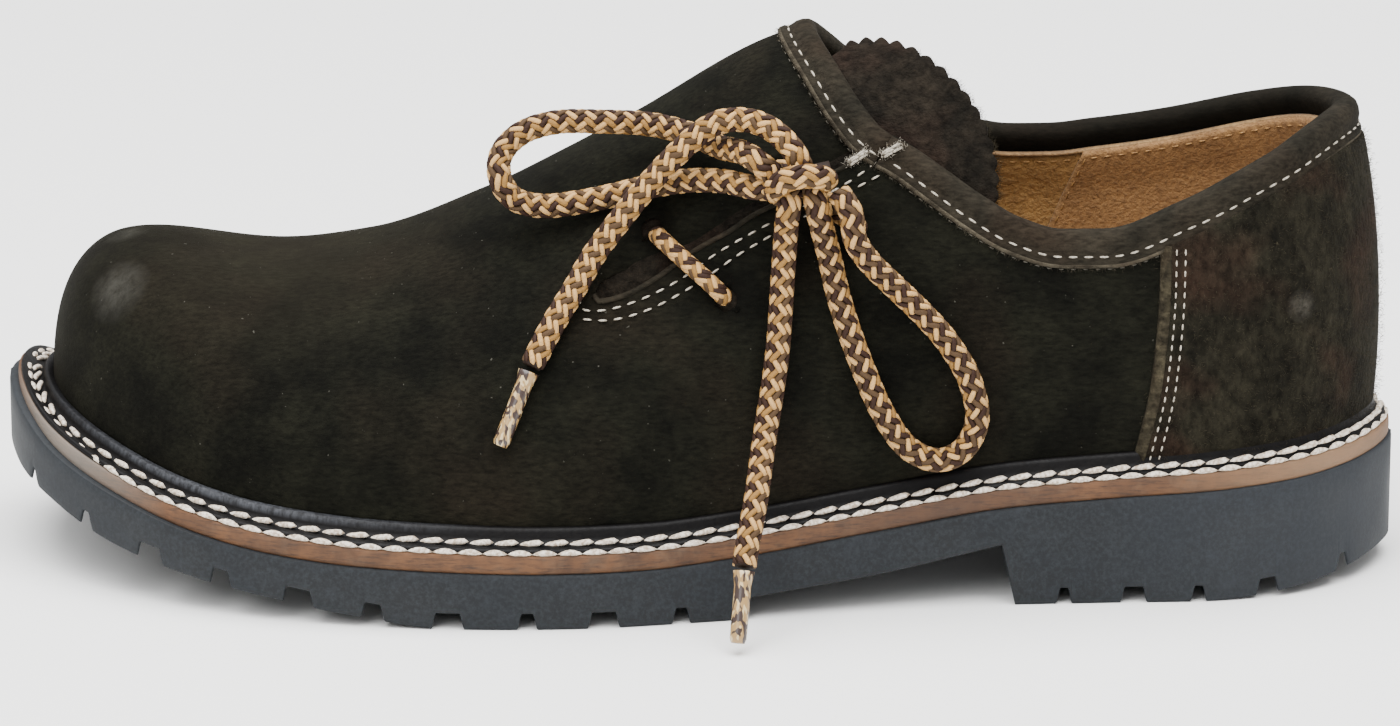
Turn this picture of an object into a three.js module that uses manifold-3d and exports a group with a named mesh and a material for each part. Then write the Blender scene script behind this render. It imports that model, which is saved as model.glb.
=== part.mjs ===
// A low folk shoe with side lacing, for the left foot: lug outsole, leather midsole, stitched welt,
// insole, hollow upper with heel counter and rolled topline, tongue, and a round lace tied in a bow.
// Millimetres, +Z up, toe towards -X, outer side of the foot towards -Y.
// Shapes are worked out in last coordinates: x runs from the toe tip to the back of the heel.
import * as THREE from "three";
import { mergeVertices } from "three/addons/utils/BufferGeometryUtils.js";
import Module from "manifold-3d";

const wasm = await Module();
wasm.setup();

// Driving dimensions
const SOLE_LENGTH = 303;
const GAP = 0.3; // between pieces that meet
const MIDSOLE = 4.2; // thickness of the leather midsole
const INSOLE = 3;
const WALL = 2.6; // outer leather and lining together
const COUNTER = 1.5; // thickness of the heel counter's leather
const BINDING = 1.3; // how far the rolled topline stands proud
const BAND = 7.5; // how far the rolled topline reaches down the side
const WELT_HEIGHT = 5.2;
const EYELET = 5; // diameter
const LACE = 5.2; // diameter
const AGLET = 3.6; // diameter
const KNOT = 7.8; // thickness of the bow's knot
const TONGUE = 1.8; // thickness
const FAR = 120; // beyond every side of the shoe
const STEPS = 33; // samples of the outline on each side of the foot
const RISES = 11; // bands of a last's surface, from the feather line to the top line
const STATION = 7; // between the points of a side view's lines
const CORD_SIDES = 4; // segments to each half of a cord's round section
const CORD_STEP = 6.5; // between the rings of a cord

// Tread: notches cut in from the edge, and a channel between the edge lugs and the middle ones.
const LUG_DEPTH = 3.5;
const LUG_REACH = 17; // from the edge to the channel
const CHANNEL = 5;
const TREAD = [
  { first: 18.5, pitch: 16.2, notches: 9, narrow: 3.6, wide: 6.2 },
  { first: 229.5, pitch: 14.6, notches: 5, narrow: 2.6, wide: 4.8 },
];

// Outline of the outsole. outer and inner are y at the outer and inner side of the foot.
const OUTLINE = [
  { at: 0, outer: 15, inner: 15 },
  { at: 3.5, outer: -3.5, inner: 34.5 },
  { at: 12, outer: -17.5, inner: 43.5 },
  { at: 26, outer: -31, inner: 48.8 },
  { at: 46, outer: -43.5, inner: 51.8 },
  { at: 72, outer: -52, inner: 53.5 },
  { at: 100, outer: -55.5, inner: 53 },
  { at: 128, outer: -55, inner: 48.5 },
  { at: 156, outer: -50, inner: 41.5 },
  { at: 184, outer: -44, inner: 36 },
  { at: 212, outer: -39.5, inner: 33.5 },
  { at: 240, outer: -37.5, inner: 34 },
  { at: 264, outer: -36, inner: 34 },
  { at: 282, outer: -30.5, inner: 29.5 },
  { at: 296, outer: -17.5, inner: 17.5 },
  { at: SOLE_LENGTH, outer: 0, inner: 0 },
];

// How far the edges of the layers lie inside that outline.
const INSET = [
  { at: 0, midsole: 2, feather: 9.6 },
  { at: 40, midsole: 1.2, feather: 8 },
  { at: 100, midsole: 0.8, feather: 7.4 },
  { at: 200, midsole: 0.8, feather: 6.4 },
  { at: 270, midsole: 0.7, feather: 5.6 },
  { at: SOLE_LENGTH, midsole: 0.7, feather: 6 },
];

// Heights along the side: under the tread, and on top of the rubber.
const SIDE = [
  { at: 0, tread: 23, rubber: 37 },
  { at: 4, tread: 20, rubber: 33.4 },
  { at: 11, tread: 16.7, rubber: 28 },
  { at: 25, tread: 11.2, rubber: 22.4 },
  { at: 42, tread: 7.6, rubber: 17.5 },
  { at: 60, tread: 4.9, rubber: 14.5 },
  { at: 80, tread: 2, rubber: 13 },
  { at: 98, tread: 0, rubber: 12.4 },
  { at: 120, tread: 0, rubber: 12 },
  { at: 140, tread: 0, rubber: 12.2 },
  { at: 162, tread: 0, rubber: 14 },
  { at: 191, tread: 0, rubber: 17.8 },
  { at: 217, tread: 0, rubber: 21.5 },
  { at: 240, tread: 0, rubber: 23.3 },
  { at: 262, tread: 0, rubber: 24.6 },
  { at: 280, tread: 1.6, rubber: 26 },
  { at: SOLE_LENGTH, tread: 5, rubber: 27.6 },
];

// Underside of the waist, from the last forefoot lug to the breast of the heel.
const WAIST = [
  { at: 162, under: 4.7 },
  { at: 191, under: 8.3 },
  { at: 216.5, under: 13.4 },
];
const BREAST_FOOT = 219.5;

// Sections of the last. crown and ridge are the height and y of its top line. Each side of a section
// is one cubic curve: swell is how far its lower handle stands out, rise how high that handle is as a
// share of the height, and shoulder how far out the upper handle reaches as a share of the width.
const LAST = [
  { at: 36, crown: 70.1, ridge: 9, swell: 0.3, rise: 0.7, shoulder: 0.74 },
  { at: 60, crown: 67.6, ridge: 8.5, swell: 2, rise: 0.62, shoulder: 0.62 },
  { at: 80, crown: 70.2, ridge: 8, swell: 3, rise: 0.56, shoulder: 0.58 },
  { at: 105, crown: 80, ridge: 7, swell: 4, rise: 0.5, shoulder: 0.52 },
  { at: 135, crown: 96, ridge: 6, swell: 6, rise: 0.48, shoulder: 0.46 },
  { at: 173, crown: 116.6, ridge: 5, swell: 7, rise: 0.46, shoulder: 0.5 },
  { at: 195, crown: 120, ridge: 4, swell: 7, rise: 0.42, shoulder: 0.66 },
  { at: 230, crown: 124, ridge: 2, swell: 7, rise: 0.4, shoulder: 0.86 },
  { at: 266, crown: 132, ridge: 0, swell: 4, rise: 0.36, shoulder: 0.91 },
];

// Height of the topline on either side, from the throat to the back of the heel.
const TOPLINE = [
  { at: 170, outer: 124, inner: 124 },
  { at: 176, outer: 118, inner: 118 },
  { at: 180.5, outer: 112.6, inner: 113.6 },
  { at: 186, outer: 105, inner: 108.6 },
  { at: 191, outer: 100.2, inner: 104 },
  { at: 197, outer: 97.6, inner: 99 },
  { at: 204, outer: 93.2, inner: 95 },
  { at: 212, outer: 88, inner: 92 },
  { at: 220, outer: 83.6, inner: 90.7 },
  { at: 229, outer: 81.2, inner: 90.6 },
  { at: 238, outer: 81.2, inner: 91.6 },
  { at: 254, outer: 86.8, inner: 93.8 },
  { at: 273, outer: 95.6, inner: 98.4 },
  { at: 290, outer: 102.3, inner: 102.3 },
  { at: 320, outer: 104, inner: 104 },
];
const TOPLINE_HALF = 28; // y at which those heights are taken
const SLIT_INNER = -8; // y up to which the slit below is cut

// The lace slit in the outer side, as heights of its vamp edge and of its lip.
const SLIT = [
  { at: 129.5, vamp: 68.8, lip: 66.8 },
  { at: 132, vamp: 71.2, lip: 66.5 },
  { at: 137, vamp: 73.2, lip: 68.2 },
  { at: 143, vamp: 75.3, lip: 71.4 },
  { at: 148.5, vamp: 76.8, lip: 74.7 },
  { at: 153, vamp: 79, lip: 78 },
  { at: 163, vamp: 84.5, lip: 83.5 },
  { at: 176, vamp: 91.2, lip: 90.2 },
  { at: 200, vamp: 103, lip: 102 },
];

const EYELETS = [
  { at: 141.5, height: 80.4 },
  { at: 157.4, height: 67.5 },
  { at: 169.3, height: 92.5 },
  { at: 184.8, height: 82 },
];

// Front edge of the heel counter.
const COUNTER_EDGE = [
  { height: 30, at: 244.5 },
  { height: 49, at: 248.2 },
  { height: 69, at: 249.6 },
  { height: 90, at: 249.8 },
];

// The tongue's fan: an arc from over the instep to the topline, with pinked teeth.
const FAN = { at: 190.5, height: 90, radius: 23.8, from: 108, to: -18, teeth: 16, tooth: 1.7 };
const TONGUE_INNER = 2; // y of its inner edge
// The rest of its outline, under the slit, as [x, z].
const TONGUE_ROOT = [
  [205, 80],
  [176, 68],
  [134, 56],
  [124, 62],
  [128, 80],
  [160, 100],
];

// Lace routes: x from the toe tip, y, z. Each lies on the side of the shoe or stands out from it.
const BAR_LOWER = [
  [141.5, -29.2, 81.4],
  [144.3, -32.4, 79.2],
  [149.8, -36.1, 75.5],
  [154.9, -38.5, 71],
  [157.4, -39.1, 68.5],
];
const BAR_UPPER = [
  [184.7, -33.1, 82.9],
  [179.4, -31.6, 87],
  [174.1, -29.6, 90.4],
  [169.3, -27.4, 93.4],
];
const KNOT_ROUTE = [
  [166.2, -35.2, 91.8],
  [172.6, -35.5, 93],
  [179.7, -34.9, 94.4],
];
const LOOP_TOE = [
  [163.9, -35.4, 97.6],
  [161, -31.4, 98.4],
  [156.4, -25.6, 98],
  [150, -19.6, 99.3],
  [141.2, -15, 100.3],
  [130.8, -15, 100.9],
  [120.5, -14, 100.4],
  [113.5, -15, 98.2],
  [109.4, -17, 94.1],
  [109.3, -20, 89.4],
  [112.2, -20, 85.2],
  [117.9, -20, 83.6],
  [125.7, -21.3, 84.7],
  [133.4, -22.1, 86.5],
  [141.3, -23.3, 88.8],
  [148.9, -25.5, 90.6],
  [156.6, -29.4, 91.6],
  [163.4, -34, 91.4],
];
const END_TOE = [
  [172.6, -37.8, 98.6],
  [170, -35.4, 101.8],
  [165.8, -32.4, 104.4],
  [160.8, -30, 105.2],
  [155.5, -29.6, 104.4],
  [151.5, -29.9, 101.9],
  [147.5, -30.4, 98.3],
  [142.8, -30.2, 93.2],
  [138.6, -31, 88.3],
  [134.1, -31.7, 82.6],
  [129.8, -32, 76.7],
  [125.2, -35, 69.3],
  [120.6, -38.9, 62.4],
  [116.2, -43, 54.6],
];
const AGLET_TOE = [
  [115.7, -43.5, 53.6],
  [112.6, -46.4, 46],
  [109.6, -48.7, 38.8],
];
const END_FLOOR = [
  [170.6, -40.3, 88.6],
  [170.2, -38.8, 84.9],
  [169.5, -38.4, 74.5],
  [168.4, -41.6, 58.5],
  [167.1, -43.8, 48.8],
  [165.9, -46, 42],
  [164.8, -51, 35.6],
  [163.9, -55.8, 30.4],
  [162.8, -59.6, 25.2],
  [161.8, -62.6, 20.8],
];
const AGLET_FLOOR = [
  [161.6, -63.2, 19.9],
  [160.7, -67.8, 11.1],
  [159.8, -71.6, 2.6],
];
const LOOP_HEEL = [
  [176.4, -39.6, 89.2],
  [177.6, -38.2, 84],
  [179.3, -37.4, 77.1],
  [181.1, -38.1, 69.2],
  [183.6, -39.6, 61.2],
  [186.6, -40.6, 53.2],
  [190.5, -40.9, 44.2],
  [196.3, -40, 35.6],
  [202.6, -38.9, 32.6],
  [207.7, -38.4, 34.6],
  [210.8, -38.5, 40.8],
  [209.4, -38.6, 49.7],
  [204.4, -38.5, 58.7],
  [198.9, -38.4, 65.1],
  [192.7, -38.9, 71.4],
  [187.6, -40.4, 77],
  [184.6, -41.4, 82],
  [183.6, -41, 88],
];

// A smooth curve through one column of a table, with no overshoot, level beyond the ends.
function through(rows, column) {
  const at = rows.map((row) => row.at);
  const value = rows.map((row) => row[column]);
  const end = at.length - 1;
  const slope = at.slice(1).map((a, i) => (value[i + 1] - value[i]) / (a - at[i]));
  const tangent = at.map((_, i) => {
    if (i === 0 || i === end) return slope[Math.min(i, end - 1)];
    const [before, after] = [slope[i - 1], slope[i]];
    return before * after <= 0 ? 0 : (2 * before * after) / (before + after);
  });
  return (x) => {
    if (x <= at[0]) return value[0];
    if (x >= at[end]) return value[end];
    const i = at.findLastIndex((a) => a <= x);
    const step = at[i + 1] - at[i];
    const t = (x - at[i]) / step;
    const keep = (1 + 2 * t) * (1 - t) ** 2;
    const lean = step * (t * (1 - t) ** 2 * tangent[i] - t * t * (1 - t) * tangent[i + 1]);
    return keep * value[i] + (1 - keep) * value[i + 1] + lean;
  };
}

const columns = (rows) =>
  Object.fromEntries(
    Object.keys(rows[0])
      .filter((key) => key !== "at")
      .map((key) => [key, through(rows, key)]),
  );
const inset = columns(INSET);
const side = columns(SIDE);
const waist = columns(WAIST);
const last = columns(LAST);
const topline = columns(TOPLINE);
const midsoleTop = (x) => side.rubber(x) + MIDSOLE;

// The outline as a closed curve: down the outer side to the heel, and back up the inner side.
const outline = new THREE.CatmullRomCurve3(
  [
    ...OUTLINE.map((row) => new THREE.Vector3(row.at, row.outer, 0)),
    ...OUTLINE.slice(1, -1)
      .reverse()
      .map((row) => new THREE.Vector3(row.at, row.inner, 0)),
  ],
  true,
  "centripetal",
);

// A point of the outline, moved inwards. u goes once round, from the toe tip by the outer side.
function edge(u, by) {
  const turn = u - Math.floor(u);
  const point = outline.getPoint(turn);
  const tangent = outline.getTangent(turn);
  const inwards = new THREE.Vector3(-tangent.y, tangent.x, 0);
  return point.addScaledVector(inwards, typeof by === "function" ? by(point.x) : by);
}

const round = (by) => Array.from({ length: 2 * STEPS }, (_, i) => edge(i / (2 * STEPS), by));

// The same for a large inset, without the points where the line would fold over itself.
function core(by) {
  const rim = round(0);
  const clear = (p) => rim.every((q) => p.distanceTo(q) > by - 0.05);
  return round(by).filter(clear);
}

// Solids
function solid(geometry) {
  const bare = geometry.index ? geometry.toNonIndexed() : geometry;
  const position = new THREE.BufferGeometry().setAttribute("position", bare.attributes.position);
  const merged = mergeVertices(position, 1e-4);
  return new wasm.Manifold(
    new wasm.Mesh({
      numProp: 3,
      vertProperties: merged.attributes.position.array,
      triVerts: new Uint32Array(merged.index.array),
    }),
  );
}

// Everything between rows of points, each row a closed loop of as many points. A ring of rows joins up
// again, and other lofts end in flat caps that face along x.
function loft(rows, ring = false) {
  const corners = [];
  const put = (...points) => points.forEach((p) => corners.push(p.x, p.y, p.z));
  const bands = ring ? rows.length : rows.length - 1;
  for (let i = 0; i < bands; i++) {
    const [a, b] = [rows[i], rows[(i + 1) % rows.length]];
    a.forEach((_, j) => {
      const k = (j + 1) % a.length;
      put(a[j], a[k], b[k], a[j], b[k], b[j]);
    });
  }
  if (!ring) {
    const cap = (row) => {
      const flat = row.map((p) => new THREE.Vector2(p.y, p.z));
      return THREE.ShapeUtils.triangulateShape(flat, []);
    };
    const [first, end] = [rows[0], rows.at(-1)];
    cap(first).forEach(([a, b, c]) => put(first[a], first[c], first[b]));
    cap(end).forEach(([a, b, c]) => put(end[a], end[b], end[c]));
  }
  const geometry = new THREE.BufferGeometry();
  geometry.setAttribute("position", new THREE.Float32BufferAttribute(corners, 3));
  return solid(geometry);
}

// Everything inside a plan outline, between two heights.
function prism(points, low, high) {
  const shape = new THREE.Shape(points.map((p) => new THREE.Vector2(p.x, p.y)));
  const geometry = new THREE.ExtrudeGeometry(shape, { depth: high - low, bevelEnabled: false });
  return solid(geometry.translate(0, 0, low));
}

// Everything inside a side view, given as [x, z] pairs, between two y values.
function slice(pairs, low = -FAR, high = FAR) {
  const shape = new THREE.Shape(pairs.map(([x, z]) => new THREE.Vector2(x, z)));
  const geometry = new THREE.ExtrudeGeometry(shape, { depth: high - low, bevelEnabled: false });
  return solid(geometry.rotateX(Math.PI / 2).translate(0, high, 0));
}

const stations = (from, to) => {
  const count = Math.ceil((to - from) / STATION);
  return Array.from({ length: count + 1 }, (_, i) => from + ((to - from) * i) / count);
};

// Everything between an under and an upper line of the side view.
function between(under, over, from = -5, to = SOLE_LENGTH + 5) {
  const along = stations(from, to);
  const low = along.map((x) => [x, under(x)]);
  const high = along.toReversed().map((x) => [x, over(x)]);
  return slice([...low, ...high]);
}

// Outsole: one rubber moulding with lugs, waist and heel
function outsole() {
  const line = (from, to, height) => stations(from, to).map((x) => [x, height(x)]);
  const [waistFrom, waistTo] = [WAIST[0].at, WAIST.at(-1).at];
  const view = [
    ...line(-5, waistFrom, side.tread),
    ...line(waistFrom + 1, waistTo, waist.under),
    ...line(BREAST_FOOT, SOLE_LENGTH + 5, side.tread),
    ...line(-5, SOLE_LENGTH + 5, side.rubber).reverse(),
  ];
  const block = prism(round(0), -1, FAR).intersect(slice(view));
  return block.subtract(tread());
}

// What is cut out of the underside between the lugs
function tread() {
  const deep = (x) => side.tread(x) + LUG_DEPTH;
  const low = (x) => side.tread(x) - LUG_DEPTH;
  const middle = prism(core(LUG_REACH), -FAR, FAR);
  const past = prism(core(LUG_REACH + CHANNEL / 2), -FAR, FAR);
  const inside = prism(core(LUG_REACH + CHANNEL), -FAR, FAR);
  const lugged = [
    between(low, deep, 0, WAIST[0].at - LUG_REACH / 2),
    between(low, deep, BREAST_FOOT + LUG_REACH / 2, SOLE_LENGTH),
  ];
  const cuts = lugged.map((part) => part.intersect(middle).subtract(inside));
  for (const { first, pitch, notches, narrow, wide } of TREAD) {
    for (let i = 0; i < notches; i++) {
      const x = first + i * pitch;
      const half = (i % 2 ? wide : narrow) / 2;
      const taper = half - 0.6;
      const notch = [
        [x - half, low(x)],
        [x + half, low(x)],
        [x + taper, deep(x)],
        [x - taper, deep(x)],
      ];
      cuts.push(slice(notch).subtract(past));
      // A groove across the middle, halfway to the next notch
      if (i > 0 && i < notches - 1)
        cuts.push(slice(shift(notch, pitch / 2, side.tread)).intersect(past));
    }
  }
  return wasm.Manifold.union(cuts);
}

// A side view moved along the sole, following its under line.
function shift(pairs, by, under) {
  const centre = (pairs[0][0] + pairs[1][0]) / 2;
  const rise = under(centre + by) - under(centre);
  return pairs.map(([x, z]) => [x + by, z + rise]);
}

// Midsole: a layer of leather between the rubber and the welt
function midsole() {
  const low = (x) => side.rubber(x) + GAP;
  return prism(round(inset.midsole), -1, FAR).intersect(between(low, midsoleTop));
}

// Welt: a ledge that carries the stitches, with a lip turned up against the upper
function welt() {
  const rows = Array.from({ length: 2 * STEPS }, (_, i) => {
    const u = i / (2 * STEPS);
    const at = (by, height) => {
      const point = edge(u, by);
      point.z = midsoleTop(point.x) + GAP + height;
      return point;
    };
    const ledge = (x) => inset.midsole(x) + 0.6;
    const lip = (x) => inset.feather(x) - 2;
    return [
      at((x) => lip(x) + 4, 0),
      at((x) => lip(x) + 4, WELT_HEIGHT),
      at((x) => lip(x) + 0.4, WELT_HEIGHT - GAP),
      at(lip, 2.8),
      at(ledge, 1.2),
      at(ledge, 0),
    ];
  });
  return loft(rows, true).subtract(lastSolid(GAP, LUG_DEPTH));
}

// Upper: the surface of the last. u goes round the foot, v from the feather line to the top line.
const TOE_POLE = LAST[0].at;
const HEEL_POLE = LAST.at(-1).at;
const SOFTNESS = 7; // how gradually the sections fan out at toe and heel

const ease = (x) => SOFTNESS * Math.log1p(Math.exp(x / SOFTNESS));
function fanned(x) {
  const fromToe = TOE_POLE + ease(x - TOE_POLE);
  return HEEL_POLE - ease(HEEL_POLE - fromToe);
}

function lastPoint(u, v) {
  const foot = edge(u, inset.feather);
  const mirror = edge(-u, inset.feather);
  foot.z = midsoleTop(foot.x) + GAP;
  const x = fanned((foot.x + mirror.x) / 2);
  const top = new THREE.Vector3(x, last.ridge(x), last.crown(x));
  const height = top.z - foot.z;
  const inwards = new THREE.Vector3(top.x - foot.x, top.y - foot.y, 0);
  const width = inwards.length();
  inwards.normalize();
  const low = foot.clone().addScaledVector(inwards, -last.swell(x));
  low.z += last.rise(x) * height;
  const high = top.clone().addScaledVector(inwards, -last.shoulder(x) * width);
  return new THREE.CubicBezierCurve3(foot, low, high, top).getPoint(v);
}

function lastNormal(u, v) {
  const nudge = 1e-3;
  if (v > 1 - nudge) {
    const x = lastPoint(u, 1).x;
    const climb = (last.crown(x + 1) - last.crown(x - 1)) / 2;
    return new THREE.Vector3(-climb, 0, 1).normalize();
  }
  const along = lastPoint(u + nudge, v).sub(lastPoint(u - nudge, v));
  const up = lastPoint(u, v + nudge).sub(lastPoint(u, Math.max(0, v - nudge)));
  return along.cross(up).normalize();
}

// The last as a solid, grown by an offset, whose foot reaches below the feather line by skirt.
function lastSolid(offset, skirt = 0) {
  const count = 2 * STEPS;
  const corners = [];
  const rows = Array.from({ length: RISES + 1 }, (_, j) =>
    Array.from({ length: count }, (_, i) => {
      const v = j / RISES;
      const point = lastPoint(i / count, v);
      return point.addScaledVector(lastNormal(i / count, v), offset);
    }),
  );
  if (skirt) rows.unshift(rows[0].map((p) => new THREE.Vector3(p.x, p.y, p.z - skirt)));
  const put = (...points) => points.forEach((p) => corners.push(p.x, p.y, p.z));
  for (let j = 0; j < rows.length - 1; j++)
    for (let i = 0; i < count; i++) {
      const k = (i + 1) % count;
      put(rows[j][i], rows[j][k], rows[j + 1][k], rows[j][i], rows[j + 1][k], rows[j + 1][i]);
    }
  // The foot is closed by strips between the two sides.
  const foot = rows[0];
  for (let i = 0; i < STEPS; i++) {
    const [a, b] = [foot[i], foot[i + 1]];
    const [c, d] = [foot[(count - i) % count], foot[(count - i - 1) % count]];
    put(a, c, b, b, c, d);
  }
  const geometry = new THREE.BufferGeometry();
  geometry.setAttribute("position", new THREE.Float32BufferAttribute(corners, 3));
  return solid(geometry);
}

// Everything above the topline, or above a line that lies inside it by drop, as a ruled surface between
// the outer and the inner side of the foot.
function aboveTopline(drop = 0) {
  const along = stations(TOPLINE[0].at, TOPLINE.at(-1).at);
  const lowered = (height, x) => {
    const slope = (height(x + 1) - height(x - 1)) / 2;
    const length = Math.hypot(1, slope);
    return [x + (drop * slope) / length, height(x) - drop / length];
  };
  return loft(
    along.map((x) => {
      const [outerX, outerZ] = lowered(topline.outer, x);
      const [innerX, innerZ] = lowered(topline.inner, x);
      return [
        new THREE.Vector3(outerX, -FAR, outerZ),
        new THREE.Vector3(outerX, -TOPLINE_HALF, outerZ),
        new THREE.Vector3(innerX, TOPLINE_HALF, innerZ),
        new THREE.Vector3(innerX, FAR, innerZ),
        new THREE.Vector3(innerX, FAR, 2 * FAR),
        new THREE.Vector3(outerX, -FAR, 2 * FAR),
      ];
    }),
  );
}

// The place and outward normal of the outer side of the upper at a given x and z.
function onOuterSide(x, z) {
  const halve = (low, high, below) => {
    for (let i = 0; i < 24; i++) {
      const middle = (low + high) / 2;
      if (below(middle)) low = middle;
      else high = middle;
    }
    return low;
  };
  const riseTo = (u) => halve(0, 1, (v) => lastPoint(u, v).z < z);
  const u = halve(0, 0.5, (turn) => lastPoint(turn, riseTo(turn)).x < x);
  const v = riseTo(u);
  return { point: lastPoint(u, v), normal: lastNormal(u, v) };
}

// The lace slit, as a cut through the outer side
function slit() {
  const lip = SLIT.map((row) => [row.at, row.lip]);
  const vamp = SLIT.toReversed().map((row) => [row.at, row.vamp]);
  return slice([...lip, ...vamp], -FAR, SLIT_INNER);
}

// Upper: one hollow shell of leather and lining, open at the topline, the lace slit and underneath
function upper() {
  const holes = EYELETS.map(({ at, height }) => {
    const { point, normal } = onOuterSide(at, height);
    const turn = new THREE.Quaternion().setFromUnitVectors(new THREE.Vector3(0, 1, 0), normal);
    const hole = new THREE.CylinderGeometry(EYELET / 2, EYELET / 2, 4 * WALL, 12);
    return solid(hole.applyQuaternion(turn).translate(...point));
  });
  return lastSolid(0)
    .subtract(lastSolid(-WALL, WALL))
    .subtract(aboveTopline())
    .subtract(wasm.Manifold.union([slit(), ...holes]));
}

// Topline binding: leather rolled round the edge, as a band that stands proud of the upper
function binding() {
  return lastSolid(GAP + BINDING)
    .subtract(lastSolid(GAP, WALL))
    .intersect(aboveTopline(BAND))
    .subtract(aboveTopline())
    .subtract(slit());
}

// Heel counter: a second leather round the back of the heel
function counter() {
  const lip = (x) => midsoleTop(x) + WELT_HEIGHT + 2 * GAP;
  const edgeLine = through(
    COUNTER_EDGE.map((row) => ({ at: row.height, x: row.at })),
    "x",
  );
  const front = [0, 30, 40, 50, 60, 70, 80, 90, FAR].map((z) => [edgeLine(z), z]);
  const behind = SOLE_LENGTH + FAR;
  const region = slice([[behind, FAR], ...front.toReversed(), [behind, 0]]);
  return lastSolid(GAP + COUNTER)
    .subtract(lastSolid(GAP, WALL))
    .intersect(region)
    .intersect(between(lip, () => FAR))
    .subtract(aboveTopline(BAND + GAP));
}

// Tongue: a curved sheet under the slit, whose pinked end fans out above the topline
function tongue() {
  const { at, height, radius, from, to, teeth, tooth } = FAN;
  const fan = Array.from({ length: 2 * teeth + 1 }, (_, i) => {
    const angle = THREE.MathUtils.degToRad(from + ((to - from) * i) / (2 * teeth));
    const reach = radius + (i % 2 ? tooth : 0);
    return [at + reach * Math.cos(angle), height + reach * Math.sin(angle)];
  });
  const view = slice([...fan, ...TONGUE_ROOT].reverse(), -FAR, TONGUE_INNER);
  return lastSolid(-WALL - GAP)
    .subtract(lastSolid(-WALL - GAP - TONGUE, WALL))
    .intersect(view);
}

// Insole: fills the foot of the upper
function insole() {
  const low = (x) => midsoleTop(x) + GAP;
  return lastSolid(-WALL - GAP, WALL).intersect(between(low, (x) => low(x) + INSOLE));
}

// A round cord along a route
function cord(route, diameter) {
  const section = new THREE.Shape().absellipse(0, 0, diameter / 2, diameter / 2, 0, 2 * Math.PI);
  const path = new THREE.CatmullRomCurve3(
    route.map((p) => new THREE.Vector3(...p)),
    false,
    "centripetal",
  );
  const steps = Math.ceil(path.getLength() / CORD_STEP);
  const settings = { steps, curveSegments: CORD_SIDES, extrudePath: path, bevelEnabled: false };
  return solid(new THREE.ExtrudeGeometry(section, settings));
}

// Assembly
const shoe = new THREE.Group();
const finish = (color, roughness) =>
  new THREE.MeshStandardMaterial({ color, roughness, metalness: 0 });
const rubber = finish("#3d434c", 0.7);
const midsoleLeather = finish("#8a5f3f", 0.6);
const weltLeather = finish("#1c1a18", 0.45);
const suede = finish("#2b2721", 0.95);
const counterSuede = finish("#352c24", 0.95);
const insoleLeather = finish("#b98a4e", 0.7);
const braid = finish("#a98c68", 0.85);

function add(name, made, material) {
  const mesh = made.getMesh();
  const geometry = new THREE.BufferGeometry();
  geometry.setAttribute("position", new THREE.BufferAttribute(mesh.vertProperties, 3));
  geometry.setIndex(new THREE.BufferAttribute(mesh.triVerts, 1));
  const piece = new THREE.Mesh(geometry, material);
  piece.name = name;
  shoe.add(piece);
}

add("outsole", outsole(), rubber);
add("midsole", midsole(), midsoleLeather);
add("welt", welt(), weltLeather);
add("insole", insole(), insoleLeather);
add("upper", upper(), suede);
add("topline_binding", binding(), suede);
add("heel_counter", counter(), counterSuede);
add("tongue", tongue(), suede);
add("lace_bar_lower", cord(BAR_LOWER, LACE), braid);
add("lace_bar_upper", cord(BAR_UPPER, LACE), braid);
add("lace_knot", cord(KNOT_ROUTE, KNOT), braid);
add("lace_loop_toe", cord(LOOP_TOE, LACE), braid);
add("lace_loop_heel", cord(LOOP_HEEL, LACE), braid);
add("lace_end_toe", cord(END_TOE, LACE), braid);
add("lace_end_floor", cord(END_FLOOR, LACE), braid);
add("aglet_toe", cord(AGLET_TOE, AGLET), braid);
add("aglet_floor", cord(AGLET_FLOOR, AGLET), braid);

// The origin is under the middle of the sole.
const footprint = new THREE.Box3().setFromPoints(round(0));
shoe.position.copy(footprint.getCenter(new THREE.Vector3()).negate());
export default shoe;
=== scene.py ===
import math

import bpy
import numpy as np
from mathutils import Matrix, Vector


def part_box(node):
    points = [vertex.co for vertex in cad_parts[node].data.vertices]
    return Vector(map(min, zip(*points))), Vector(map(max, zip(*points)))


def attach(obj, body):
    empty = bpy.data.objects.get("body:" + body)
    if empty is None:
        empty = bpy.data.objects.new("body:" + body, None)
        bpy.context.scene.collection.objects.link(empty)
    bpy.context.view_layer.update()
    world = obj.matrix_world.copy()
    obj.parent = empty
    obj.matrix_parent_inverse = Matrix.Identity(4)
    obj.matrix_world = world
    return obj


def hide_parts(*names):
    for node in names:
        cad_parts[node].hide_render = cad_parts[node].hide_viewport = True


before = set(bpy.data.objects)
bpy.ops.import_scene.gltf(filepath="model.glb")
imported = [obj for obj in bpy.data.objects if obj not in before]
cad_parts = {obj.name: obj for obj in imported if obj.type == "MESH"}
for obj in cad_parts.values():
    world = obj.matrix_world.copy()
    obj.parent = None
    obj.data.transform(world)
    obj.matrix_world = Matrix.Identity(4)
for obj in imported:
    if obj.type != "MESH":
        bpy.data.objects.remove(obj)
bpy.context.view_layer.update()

# %% [markdown]
# # A left haferl shoe
# A low folk shoe: one piece of dark nubuck drawn over a last, slit on its outer side and laced
# there, with a padded topline, a suede heel counter, a pinked tongue, a stitched welt, a leather
# midsole and a lug sole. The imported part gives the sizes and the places. This script gives every
# piece its real surface. All shapes are worked out in millimetres in the last's own coordinates,
# where x runs from the tip of the toe to the back of the heel, and one function moves them.

MM = 0.001

# %% [markdown]
# ## Camera
# A long lens, level with a seated person's eyes, sees the shoe from its outer side and a little
# from above. Its focal length follows from how many pixels wide the picture is, and how many
# pixels one millimetre covers at the shoe.

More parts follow.
